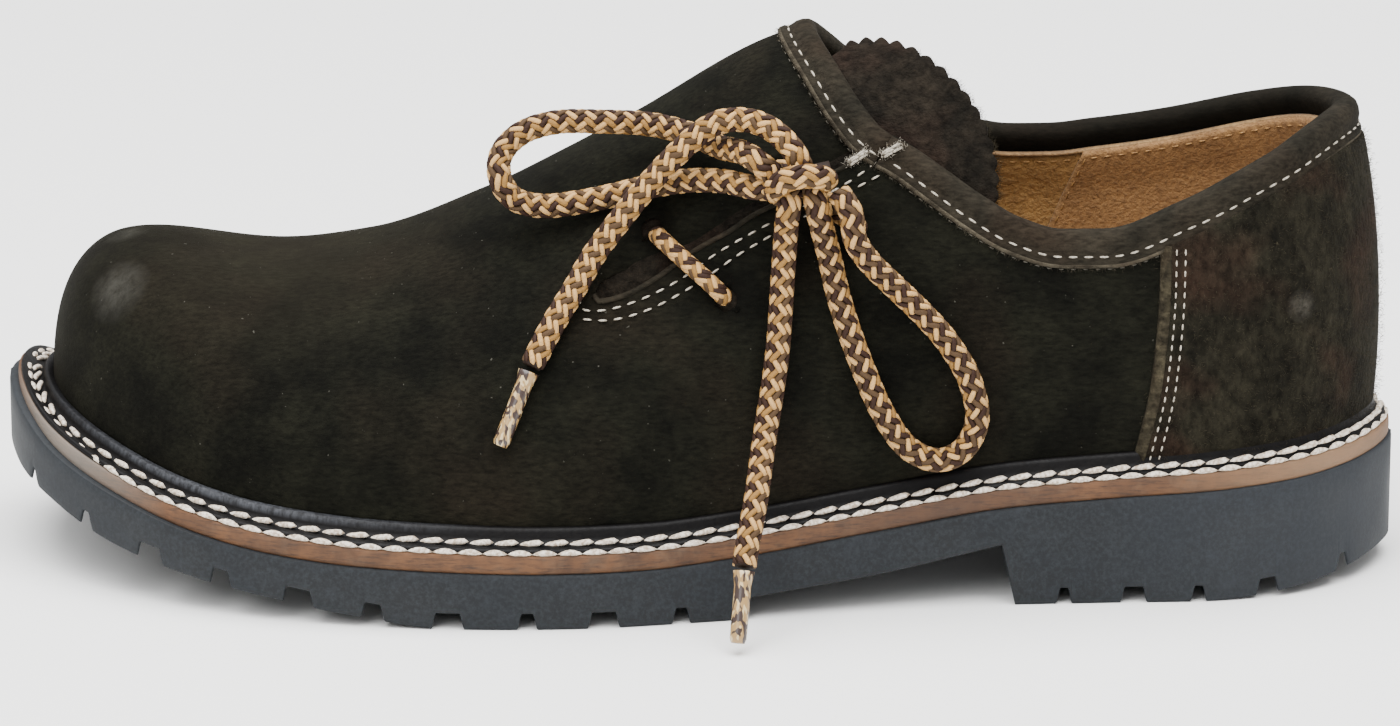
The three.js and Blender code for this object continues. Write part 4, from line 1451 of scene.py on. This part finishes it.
def cut_leather_material():
    """The cut edge of sole leather: layered fibres along it, stained tan and dusty."""
    material, place = blank("sole_leather_cut_edge")
    flat = add(material, "Mapping", {"Vector": place, "Scale": (0.12, 0.12, 1)}).outputs[0]
    layers = noise(material, flat, 0.55, 4, 0.65)
    cloud = noise(material, place, 9, 4, 0.62)
    tone = blend(material, spread(material, cloud, 0.35, 0.68), colour("#422914"), colour("#634022"))
    tone = blend(material, spread(material, layers, 0.48, 0.68, 0, 0.8), tone, colour("#29190d"))
    dust = spread(material, noise(material, place, 6, 4, 0.7), 0.5, 0.72, 0, 0.4)
    tone = blend(material, dust, tone, colour("#5f4a37"))
    tone = wear_and_painted_light(material, tone, place, (6, -18, 16), 38, 0.85, "#736d65", soft=0.7)
    # Darker low on the waist.
    tone = wear_and_painted_light(material, tone, place, (203, -38, 12), 34, 0.7, "#2f2119")
    tone = wear_and_painted_light(material, tone, place, (290, -24, 22), 42, 0.6, "#94765a")
    bump = add(material, "Bump", {"Height": layers, "Strength": 0.6, "Distance": 0.25 * MM})
    inputs = {"Base Color": tone, "Roughness": 0.75, "Normal": bump.outputs[0]}
    return finish(material, add(material, "BsdfPrincipled", inputs))


midsole_grid = grid(midsole_rows(), round_columns=True)
face_out(piece("midsole_leather", midsole_grid, cut_leather_material(), "midsole"))

# %% [markdown]
# ## Welt
# The welt is a strip of dark waxed leather that joins upper and sole. From its ledge it turns up
# as a lip against the upper. Two rows of thick thread hold it: one right on its edge, that goes
# through the sole, and one at the foot of the lip, whose stitches lean. Near the toe the top of the
# lip carries a painted grey reflection of the front light; a number kept on the mesh, the height
# above the midsole, says where the lip is.

# %% Welt
def ledge(x):
    """How far the welt's edge lies inside the outline."""
    return inset["midsole"](x) + 0.6


def lip(x):
    """How far the welt's lip lies inside the outline."""
    return inset["feather"](x) - 2


WELT_SECTION = [  # the line it is measured from, distance inside that line, height above the midsole
    (ledge, 0.3, 0.0),
    (ledge, 0.0, 0.35),
    (ledge, 0.15, 0.9),
    (ledge, 0.7, 1.25),
    (lip, -1.9, 1.35),
    (lip, -1.1, 1.5),
    (lip, -0.45, 2.1),
    (lip, -0.1, 2.8),
    (lip, 0.1, 3.8),
    (lip, 0.4, 4.45),
    (lip, 0.95, 4.75),
    (lip, 1.7, 4.75),
    (lip, 4, 4.5),
    (lip, 4, 0.0),
]


def welt_row(line, inside, height):
    """One row of the welt all round."""
    return layer_row(lambda x: line(x) + inside, lambda x: midsole_top(x) + height)


def welt_material():
    """Dark waxed leather: fine grain under a low gloss, with a painted grey reflection in upright streaks
    along the top of the lip near the toe.
    """
    material, place = blank("waxed_welt_leather")
    grain = noise(material, place, 0.8, 4, 0.65)
    rub = spread(material, noise(material, place, 5, 5, 0.72), 0.54, 0.74, 0, 0.5)
    tone = blend(material, spread(material, grain, 0.35, 0.7), colour("#050405"), colour("#0a0808"))
    tone = blend(material, rub, tone, colour("#141211"))
    upright = add(material, "Mapping", {"Vector": place, "Scale": (1, 1, 0.1)}).outputs[0]
    glint_streaks = spread(material, noise(material, upright, 0.9, 3, 0.7), 0.35, 0.7, 0.2, 1)
    rise = add(material, "Attribute", attribute_name="rise").outputs["Fac"]
    # Painted reflection: grey upright streaks along the top of the lip near the toe, where the front light
    # glints.
    wear_and_glint = multiplied(material, patch(material, place, (46, -40, 22), 62), glint_streaks)
    wear_and_glint = multiplied(material, wear_and_glint, spread(material, rise, 2.9, 3.9))
    tone = blend(material, wear_and_glint, tone, colour("#4d4f54"))
    bump = add(material, "Bump", {"Height": grain, "Strength": 0.5, "Distance": 0.2 * MM})
    inputs = {"Base Color": tone, "Roughness": spread(material, grain, 0.3, 0.7, 0.4, 0.6)}
    inputs |= {"Normal": bump.outputs[0], "Specular IOR Level": 0.14}
    return finish(material, add(material, "BsdfPrincipled", inputs))


welt_rows = np.stack([welt_row(*row) for row in WELT_SECTION])
welt_grid = grid(welt_rows, round_columns=True, round_rows=True)
welt = face_out(piece("welt_strip", welt_grid, welt_material(), "welt"))
welt_points = np.empty(3 * len(welt.data.vertices))
welt.data.vertices.foreach_get("co", welt_points)
welt_points = welt_points.reshape(-1, 3) / MM + CENTRE
rise = welt.data.attributes.new("rise", "FLOAT", "POINT")
rise.data.foreach_set("value", (welt_points[:, 2] - midsole_top(welt_points[:, 0])).astype(np.float32))

# %% Stitches of the welt
WELT_PITCH = 5.3


def tip(x):
    """1 at the toe's tip, and 0 from 30 mm behind it."""
    return 1 - ease(x, 4, 30)


def welt_seam(name, inside, rise, tilt, **sizes):
    """A row of stitches all round the welt. The distance inside the outline, the height and the
    tilt, which turns up from upright to outwards, all depend on x."""
    points = layer_row(inside, lambda x: midsole_top(x) + rise(x))
    points = np.concatenate([points, points[:1]])
    ahead = np.gradient(points, axis=0)
    ahead[[0, -1]] = ahead[[0]] + ahead[[-1]]
    outwards = np.cross(ahead, (0, 0, 1))
    outwards /= -np.linalg.norm(outwards, axis=1, keepdims=True)
    turned = tilt(points[:, 0])[:, None]
    normals = np.cos(turned) * np.array((0, 0, 1)) + np.sin(turned) * outwards
    return face_out(piece(name, row_of_stitches(points, normals, **sizes), welt_thread))


welt_seam(
    "welt_stitches_lower",
    lambda x: ledge(x) + 0.1 + 1.6 * tip(x),
    lambda x: 0.5 + 0.6 * tip(x),
    lambda x: 0.95 - 0.5 * tip(x),
    pitch=WELT_PITCH, length=5.6, width=1.4, height=0.65, fall=0.6, blunt=2,
)
welt_seam(
    "welt_stitches_upper",
    lambda x: lip(x) - 1.1 - 0.5 * tip(x),
    lambda x: 1.7 - 0.1 * tip(x),
    lambda x: 0.8 - 0.3 * tip(x),
    pitch=WELT_PITCH, length=6.0, width=1.35, height=0.7, fall=0.15, start=0.1, lean=-0.75, blunt=4,
)

# %% [markdown]
# ## Insole and lining
# Inside the shoe a leather sock lies on the insole, and the walls are lined: smooth ochre leather
# in front, and its rough side outwards at the heel, where it holds the foot. The lining's top is a
# raw edge, stitched down just below the rolled band.

# %% Lining leathers
def lining_material(name, dark, light, wear_and_glint, nap):
    """Vegetable-tanned lining leather: ochre, darker in clouds of wear, with fine pores."""
    material, place = blank(name)
    cloud = noise(material, place, 15, 4, 0.6)
    pores = noise(material, place, nap, 3, 0.65)
    tone = blend(material, spread(material, cloud, 0.35, 0.68), colour(dark), colour(light))
    wear = spread(material, noise(material, place, 22, 3, 0.55), 0.52, 0.75, 0, 0.6)
    tone = blend(material, wear, tone, colour(wear_and_glint))
    tone = blend(material, spread(material, pores, 0.4, 0.7, 0, 0.75), tone, colour(wear_and_glint))
    bump = add(material, "Bump", {"Height": pores, "Strength": 0.8, "Distance": 0.6 * nap * MM})
    inputs = {"Base Color": tone, "Roughness": 0.72, "Normal": bump.outputs[0], "Sheen Weight": 0.1}
    return finish(material, add(material, "BsdfPrincipled", inputs))


smooth_lining = lining_material("ochre_lining_leather", "#8f6a36", "#ae854c", "#7a5830", 1.5)
rough_lining = lining_material("ochre_lining_suede", "#876238", "#a37948", "#6c4b2a", 1.1)
lining_edge = lining_material("ochre_leather_cut_edge", "#7c5c37", "#a3804f", "#5f4427", 0.8)
print("linings:", smooth_lining.name, rough_lining.name, lining_edge.name)

# %% Sock on the insole
SOCK = 3  # thickness of the sock


def insole_rows():
    """The insole's rows: the middle of its underside, its edge, and the middle of its top."""
    by = -WALL - GAP

    def wall_row(rise, inside=0.0):
        v = climb_to(around, lambda point: midsole_top(point[..., 0]) + GAP + rise)
        row = lifted(around, v, np.full(around.shape, by - inside))
        row[:, 2] = midsole_top(row[:, 0]) + GAP + rise
        return row

    def centre(rise):
        row = wall_row(rise)
        twin = np.roll(row[::-1], 1, axis=0)
        return (row + twin) / 2

    low, high = 0.1, SOCK
    edge_rows = [wall_row(low), wall_row(high - 0.4), wall_row(high, 0.5)]
    return np.stack([centre(low), *edge_rows, centre(high)])


insole_grid = grid(insole_rows(), round_columns=True)
face_out(piece("insole_sock", insole_grid, smooth_lining, "insole"))

# %% [markdown]
# ## Lining of the walls
# The lining is laid like the upper, on a surface a wall's thickness inside the last. Near its top
# edge it comes closer to the middle of the shoe, because the padded band holds it off.

# %% Lining of the walls
LINING_TOP = 5.4  # below the topline
lining_from = float(find(215, 78)[0])
lining_to = 1 - throat - 0.004


def lining_sheet(u_from, u_to, out):
    """A sheet inside the upper, out of the last by a distance, from near the sole to just below the
    topline. Within 12 mm of its top it comes up to 1.35 mm further in."""
    u = np.linspace(u_from, u_to, 240)
    low = climb_to(u, lambda point: midsole_top(point[..., 0]) + 3)
    top = climb_to(u, topline_height)
    top = np.where((u < throat) | (u > 1 - throat), 1.0, top)
    points = last_point(u, top)
    heading = np.cross(last_normal(u, top), np.gradient(points, axis=0))
    heading /= np.linalg.norm(heading, axis=1, keepdims=True)
    heading *= np.where(heading[:, 2:] > 0, -1, 1)
    u_top, v_top = walk(u, top, heading, LINING_TOP, steps=4)
    share = np.linspace(0, 1, 34)[:, None]
    sheet_u, sheet_v = u_top + 0 * share, low + (v_top - low) * share
    points = last_point(sheet_u, sheet_v)
    drop = np.linalg.norm(points - points[-1], axis=-1)
    depth = out - 1.35 * (1 - ease(drop, 1, 12))
    return sheet_u, sheet_v, depth


front_lining = lifted(*lining_sheet(lining_from, lining_to, -WALL))
piece("lining_front", grid(front_lining[:, ::-1]), smooth_lining, thickness=-0.9)

# %% [markdown]
# ## Lining of the heel
# The heel's lining is a second sheet on the first, with its rough side to the foot. It ends on the
# inner side in a seam that slants forward towards the sole. A narrow bead stands for the cut edge
# along the top, over a row of ochre stitches.

# %% Heel lining, its seam and the raw top edge
seam_top = float(find(235, 82.4, inner=True)[0])
seam_low = float(find(228.6, 67.3, inner=True)[0])
heel_u, heel_v, heel_out = lining_sheet(lining_from, seam_top, -WALL - 0.8)
to_seam = np.linspace(0, 1, 240) ** 6
heel_points = last_point(heel_u, heel_v)
drop = np.linalg.norm(heel_points - heel_points[-1], axis=-1)
heel_u = heel_u + (seam_low - seam_top) * np.clip(drop / 16, 0, 2.4) * to_seam
heel_sheet = grid(lifted(heel_u, heel_v, heel_out)[:, ::-1])
piece("lining_heel_suede", heel_sheet, rough_lining, thickness=-0.7)
seam_points = lifted(heel_u[:, -1], heel_v[:, -1], heel_out[:, -1] - 0.75)
inside_way = -last_normal(heel_u[:, -1], heel_v[:, -1])
back = lifted(heel_u[:, -6], heel_v[:, -6], heel_out[:, -6] - 0.75) - seam_points
back /= np.linalg.norm(back, axis=1, keepdims=True)
seam_row = row_of_stitches(seam_points + 1.2 * back, inside_way, **LINING_SEAM)
face_out(piece("lining_seam_stitches", seam_row, ochre_thread))

lined = last_point(rim["u"], rim["v"])[:, 0] > 211
inside_rim = {key: values[lined] for key, values in rim.items()}
bead = [(5.0, -4.2), (5.0, -4.9), (5.25, -5.3), (5.7, -5.35), (5.85, -4.8), (5.6, -4.0)]
face_out(piece("lining_cut_edge", swept(inside_rim, bead), lining_edge))
row_u, row_v = walk(inside_rim["u"], inside_rim["v"], inside_rim["heading"], 7.3, steps=5)
on_heel = row_u < seam_top
row_out = np.where(on_heel, -5.5, -4.85)
top_row = row_of_stitches(lifted(row_u, row_v, row_out), -last_normal(row_u, row_v), **LINING_SEAM)
face_out(piece("lining_top_stitches", top_row, ochre_thread))

# %% [markdown]
# ## Braided lace
# The lace is a round braid of sixteen columns. In each column short lengths of yarn lean one way,
# in the next they lean the other way, and each column keeps its own colour. So the cord is a core
# tube with those short lengths laid on it as little pillows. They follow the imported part's route,
# and a frame is carried along the route without twist to say where each column lies.

# %% Routes of the lace
LACE = 5.2  # thickness of the cord
AGLET = 3.6  # thickness of its tips
BAR_LOWER = [  # as seen from the side, and out of the last
    (142.2, 79.9, -3.2), (142.8, 79.2, -0.5), (144.8, 77.4, 1.7), (149.4, 73.9, 2.3),
    (153.8, 70.5, 2.2), (156.4, 68.4, 0.4), (157.2, 67.7, -3.2),
]
BAR_UPPER = [(184.7, -33.1, 82.9), (179.4, -31.6, 87), (174.1, -29.6, 90.4), (169.3, -27.4, 93.4)]
KNOT_ROUTE = [(166.2, -35.2, 91.8), (172.6, -35.5, 93), (179.7, -34.9, 94.4)]
KNOT_WRAP = [
    (171, -33.2, 90.2), (168.4, -36.8, 90.8), (168, -40, 93.2), (170.2, -41.8, 95.2),
    (173.6, -42.1, 96), (176.7, -41, 95.6), (178.4, -38.2, 94.3), (178.2, -34.6, 93.2),
]
LOOP_TOE = [
    (167.6, -35.9, 94.6), (163.9, -35.4, 97.6), (161, -31.4, 98.4), (156.4, -25.6, 98),
    (150, -19.6, 99.3), (141.2, -15, 100.3), (130.8, -15, 100.9), (120.5, -14, 100.4),
    (113.5, -15, 98.2), (109.4, -17, 94.1), (109.3, -20, 89.4), (112.2, -20, 85.2),
    (117.9, -20, 83.6), (125.7, -21.3, 84.7), (133.4, -22.1, 86.5), (141.3, -23.3, 88.8),
    (148.9, -25.5, 90.6), (156.6, -29.4, 91.6), (163.4, -34, 91.4), (168, -36, 91.6),
]
END_TOE = [
    (173.8, -37.6, 94.4), (172.6, -37.8, 98.6), (170, -35.4, 101.8), (165.8, -32.4, 104.4),
    (160.8, -30, 105.2), (155.5, -29.6, 104.4), (151.5, -29.9, 101.9), (147.5, -30.4, 98.3),
    (142.8, -30.2, 93.2), (138.6, -31, 88.3), (134.1, -31.7, 82.6), (129.8, -32, 76.7),
    (125.2, -35, 69.3), (120.6, -38.9, 62.4), (116.2, -43, 54.6),
]
AGLET_TOE = [(115.7, -43.5, 53.6), (112.6, -46.4, 46), (109.6, -48.7, 38.8)]
END_FLOOR = [
    (170.9, -38.6, 92.2), (170.6, -40.3, 88.6), (170.2, -38.8, 84.9), (169.5, -38.4, 74.5),
    (168.4, -41.6, 58.5), (167.1, -43.8, 48.8), (165.9, -46, 42), (164.8, -51, 35.6),
    (163.9, -55.8, 30.4), (162.8, -59.6, 25.2), (161.8, -62.6, 20.8), (161.2, -65, 17.2),
]
AGLET_FLOOR = [(161.1, -65.4, 16.4), (160.5, -68.5, 9.6), (159.8, -71.6, 2.6)]
LOOP_HEEL = [
    (175.6, -38.2, 92.8), (176.4, -39.6, 89.2), (177.6, -38.2, 84), (179.3, -37.4, 77.1),
    (181.1, -38.1, 69.2), (183.6, -39.6, 61.2), (186.6, -40.6, 53.2), (190.5, -40.9, 44.2),
    (196.3, -40, 35.6), (202.6, -38.9, 32.6), (207.7, -38.4, 34.6), (210.8, -38.5, 40.8),
    (209.4, -38.6, 49.7), (204.4, -38.5, 58.7), (198.9, -38.4, 65.1), (192.7, -38.9, 71.4),
    (187.6, -40.4, 77), (184.6, -41.4, 82), (183.6, -41, 88), (181, -38.6, 91.6),
]


def smooth_route(route, spacing=1.0):
    """A centripetal spline through a route's points, as points at even steps."""
    route = np.array(route, float)
    padded = np.concatenate([[2 * route[0] - route[1]], route, [2 * route[-1] - route[-2]]])
    t = np.linspace(0, 1, 40, endpoint=False)[:, None]
    runs = [
        spline(*(np.broadcast_to(p, (40, 3)) for p in padded[k : k + 4]), t) for k in range(len(route) - 1)
    ]
    dense = np.concatenate([*runs, route[-1:]])
    far = np.concatenate([[0], np.cumsum(np.linalg.norm(np.diff(dense, axis=0), axis=1))])
    even = np.linspace(0, far[-1], max(3, round(far[-1] / spacing) + 1))
    return np.stack([np.interp(even, far, dense[:, k]) for k in range(3)], -1), far[-1]


def carried_frame(path):
    """Across and up at each point of a path. Each is the one before, turned the least that keeps it
    square to the path."""
    ahead = np.gradient(path, axis=0)
    ahead /= np.linalg.norm(ahead, axis=1, keepdims=True)
    facing = np.array((0.0, -1.0, 0.2))
    up = []
    for direction in ahead:
        facing = facing - direction * (facing @ direction)
        facing = facing / np.linalg.norm(facing)
        up.append(facing)
    up = np.array(up)
    return ahead, np.cross(ahead, up), up


def tube(path, radii, sides=16):
    """Rings round a path, closed by a point at each end."""
    _, across, up = carried_frame(path)
    turn = np.arange(sides) * 2 * np.pi / sides
    ring = np.cos(turn)[:, None, None] * up + np.sin(turn)[:, None, None] * across
    rings = path + ring * np.asarray(radii)[:, None]
    first = np.broadcast_to(path[:1], (sides, 1, 3))
    final = np.broadcast_to(path[-1:], (sides, 1, 3))
    return grid(np.concatenate([first, rings, final], axis=1), round_rows=True)


# %% Yarns of the braid
REPEAT = 4.0  # millimetres along the cord from a yarn to the next in its column
# The last of these, the core, is painted shade: the dark seen between the yarns and inside the knot.
DARK, CREAM, OLIVE, TAN, SHADED_CORE = range(5)
CHART = [  # the yarn in each column
    DARK, CREAM, OLIVE, CREAM, TAN, DARK, CREAM, DARK,
    TAN, CREAM, OLIVE, CREAM, TAN, DARK, CREAM, OLIVE,
]
COLUMNS = len(CHART)
# The last colour is the core's painted shade.
DYES_AND_SHADE = np.array([colour(code) for code in ("#2a170f", "#c79d64", "#4a3723", "#8f6a37", "#1a100b")])


def yarns(path, radius, start, turned=0, length=4.1, width=1.3, height=0.45):
    """The braid's short yarns as pillows on a tube: along a yarn, t runs from -1 to 1 while it
    moves on by cos(lean) and round by sin(lean), and its ends dip into the core."""
    far = np.concatenate([[0], np.cumsum(np.linalg.norm(np.diff(path, axis=0), axis=1))])
    ahead, across, up = carried_frame(path)
    rows = np.arange(0.2, far[-1] / REPEAT, 1)
    column, row = np.meshgrid(np.arange(COLUMNS), rows)
    column, row = column.ravel(), row.ravel()
    lean = math.radians(38) * np.where(column % 2, -1, 1)
    middle = (row + 0.5 * (column % 2)) * REPEAT + start
    t = np.linspace(-1, 1, 6)
    turn = np.arange(6) * np.pi / 3
    shrink = (1 - np.abs(t) ** 5) ** 0.5
    beside = (shrink[:, None] * np.cos(turn) * width / 2).ravel()
    rise = (shrink[:, None] * np.sin(turn) * height - 0.3 * np.abs(t[:, None]) ** 3).ravel()
    run = np.repeat(t * length / 2, len(turn))
    on = middle[:, None] + run * np.cos(lean)[:, None] - beside * np.sin(lean)[:, None]
    on = np.clip(on, 0.2, far[-1] - 0.2)
    off = run * np.sin(lean)[:, None] + beside * np.cos(lean)[:, None]
    angle = (column[:, None] + turned) * 2 * np.pi / COLUMNS + off / radius
    out = radius + rise

    def at(values):
        return np.stack([np.interp(on, far, values[:, k]) for k in range(3)], -1)

    side = at(up) * np.cos(angle)[..., None] + at(across) * np.sin(angle)[..., None]
    points = (at(path) + side * out[..., None]).reshape(-1, len(t), len(turn), 3)
    index = np.arange(points.size // 3).reshape(points.shape[:3])
    around_it = np.roll(index, -1, axis=2)
    cells = np.stack([index[:, :-1], index[:, 1:], around_it[:, 1:], around_it[:, :-1]], -1)
    tints = np.repeat(np.array(CHART)[column], len(t) * len(turn))
    return (points.reshape(-1, 3), cells.reshape(-1, 4)), tints


def braid_material():
    """Braided polyester: four dyed yarns, each a little silky along its fibres."""
    material, place = blank("braided_polyester_lace")
    # The attribute holds each yarn's dye, and painted shade on the core and the knot's heart.
    dye_and_shade = add(material, "Attribute", attribute_name="dye_and_shade").outputs["Color"]
    plies = noise(material, place, 0.35, 2, 0.6)
    tone = blend(material, spread(material, plies, 0.35, 0.7, 0, 0.3), dye_and_shade, colour("#3a2a1c"))
    bump = add(material, "Bump", {"Height": plies, "Strength": 0.6, "Distance": 0.15 * MM})
    inputs = {"Base Color": tone, "Roughness": 0.7, "Normal": bump.outputs[0], "Specular IOR Level": 0.2}
    return finish(material, add(material, "BsdfPrincipled", inputs))


def dyed(made, tints):
    """A piece of the lace with each point's colour written onto it as a colour attribute: a yarn's dye, and
    painted shade on the core.
    """
    dye_and_shade = made.data.attributes.new("dye_and_shade", "FLOAT_COLOR", "POINT")
    dye_and_shade.data.foreach_set("color", DYES_AND_SHADE[tints].astype(np.float32).ravel())
    return made


def braid(name, route, node, turned=0, start=0.0, slim=0.0):
    """A length of lace along a route: core tube and yarns in one mesh, thinner by twice slim."""
    path, length = smooth_route(route)
    core = tube(path, np.full(len(path), LACE / 2 - 0.55 - slim))
    pillows, tints = yarns(path, LACE / 2 - 0.35 - slim, start, turned)
    # The core tube is painted as shade, the dark between the yarns.
    tints = np.concatenate([np.full(len(core[0]), SHADED_CORE), tints])
    made = piece(name, joined(core, pillows), lace_braid, node, welded=False)
    return face_out(dyed(made, tints)), path, length


lace_braid = braid_material()

# %% Loops, ends and crossings
laces = {}
for name, route, turned, slim in (
    ("loop_toe", LOOP_TOE, 3, 0),
    ("loop_heel", LOOP_HEEL, 1, 0),
    ("end_toe", END_TOE, 5, 0),
    ("end_floor", END_FLOOR, -3.5, 0),
    ("bar_lower", [over(*at) for at in BAR_LOWER], 2, 0.7),
    ("bar_upper", [over(*EYELETS[3], -3), *BAR_UPPER, over(*EYELETS[2], -3)], 4, 0.3),
):
    made, path, length = braid("braid_" + name, route, "lace_" + name, turned, slim=slim)
    laces[name] = (made, path, length)
    print("lace", name, round(length, 1), "mm")

# %% [markdown]
# ## Tips and knot
# A clear sheath is shrunk over each end of the braid, so the yarns show through as long streaks.
# The knot is one more length of braid, wrapped round the place where the loops and ends cross. A
# short core inside it, coloured as painted shade, stands for the turns that can't be seen.

# %% Aglets
def aglet_material():
    """A clear plastic sheath shrunk over the braid's end: the yarns show through its gloss."""
    material, place = blank("clear_aglet_over_braid")
    long = add(material, "Mapping", {"Vector": place, "Scale": (1, 1, 0.4)}).outputs[0]
    pale = spread(material, noise(material, long, 0.9, 1, 0.5), 0.52, 0.56)
    tone = blend(material, pale, colour("#9a7a49"), colour("#c5ad80"))
    dark = spread(material, noise(material, long, 1.2, 1, 0.5), 0.5, 0.53)
    tone = blend(material, dark, tone, colour("#2c1a12"))
    inputs = {"Base Color": tone, "Roughness": 0.5, "Coat Weight": 0.5, "Coat Roughness": 0.08}
    return finish(material, add(material, "BsdfPrincipled", inputs))


aglet_sheath = aglet_material()
aglets = {}
for name, route in (("toe", AGLET_TOE), ("floor", AGLET_FLOOR)):
    path, _ = smooth_route(route)
    radii = np.full(len(path), AGLET / 2)
    radii[:3] = 2.3, 2.15, 1.95
    radii[-1] = 1.45
    sheath = tube(path, radii)
    made = piece("aglet_sheath_" + name, sheath, aglet_sheath, "aglet_" + name)
    aglets[name] = face_out(made)

# %% Knot
KNOT_CORE = 3.1  # radius
knot, _, _ = braid("braid_knot", KNOT_WRAP, "lace_knot", 2)
middle_path, _ = smooth_route(KNOT_ROUTE)
heart_tube = tube(middle_path, np.full(len(middle_path), KNOT_CORE))
heart = piece("knot_heart", heart_tube, lace_braid)
# The knot's heart is painted shade, dark where the knot's inner turns lie in shadow.
dyed(heart, np.full(len(heart.data.vertices), SHADED_CORE))

# %% [markdown]
# ## The lace as cords
# Each free length of the lace is printed with its real length. The loops leave the knot and go
# back into it; the ends hang and carry an aglet each.

# %% Cords
for name, far_end, others in (
    ("loop_toe", "object", [knot]),
    ("loop_heel", "object", []),
    ("end_toe", "fitting", [aglets["toe"]]),
    ("end_floor", "fitting", [aglets["floor"]]),
):
    made, path, length = laces[name]
    print("cord", name, round(length, 1), "mm, ends in", far_end)

# %% [markdown]
# ## Floor and light
# The shoe stands on a plain white floor, as in a light tent. A wide softbox overhead gives the soft
# shadow under the sole and the darker sides, a smaller one from the front left shapes the toe, and
# a pale surround fills the rest.

# %% Floor, softboxes and surround
FLOOR_HALF = 6  # metres

floor_mesh = bpy.data.meshes.new("floor")
floor_corners = [(-FLOOR_HALF, -FLOOR_HALF, 0), (FLOOR_HALF, -FLOOR_HALF, 0), (FLOOR_HALF, FLOOR_HALF, 0)]
floor_mesh.from_pydata([*floor_corners, (-FLOOR_HALF, FLOOR_HALF, 0)], [], [(0, 1, 2, 3)])
floor = bpy.data.objects.new("floor", floor_mesh)
bpy.context.collection.objects.link(floor)
floor_paint, _ = blank("matt_white_paint")
paint_inputs = {"Base Color": colour("#fbfbfa"), "Roughness": 0.9}
finish(floor_paint, add(floor_paint, "BsdfPrincipled", paint_inputs))
floor_mesh.materials.append(floor_paint)


def softbox(name, place, watts, size):
    """A square lamp in metres, turned to face the shoe."""
    data = bpy.data.lights.new(name, "AREA")
    data.energy, data.size = watts, size
    lamp = bpy.data.objects.new(name, data)
    lamp.location = place
    lamp.rotation_mode = "QUATERNION"
    lamp.rotation_quaternion = (Vector((0, 0, 0.05)) - Vector(place)).to_track_quat("-Z", "Y")
    bpy.context.collection.objects.link(lamp)


softbox("softbox_overhead", (0.0, -0.15, 1.6), 90, 1.8)
softbox("softbox_front", (-0.6, -1.1, 1.0), 10, 0.8)
surround = bpy.data.worlds.new("pale_surround")
surround.use_nodes = True
surround.node_tree.nodes["Background"].inputs["Color"].default_value = (1, 1, 1, 1)
surround.node_tree.nodes["Background"].inputs["Strength"].default_value = 0.8
bpy.context.scene.world = surround
print("lit by", len(bpy.data.lights), "softboxes")
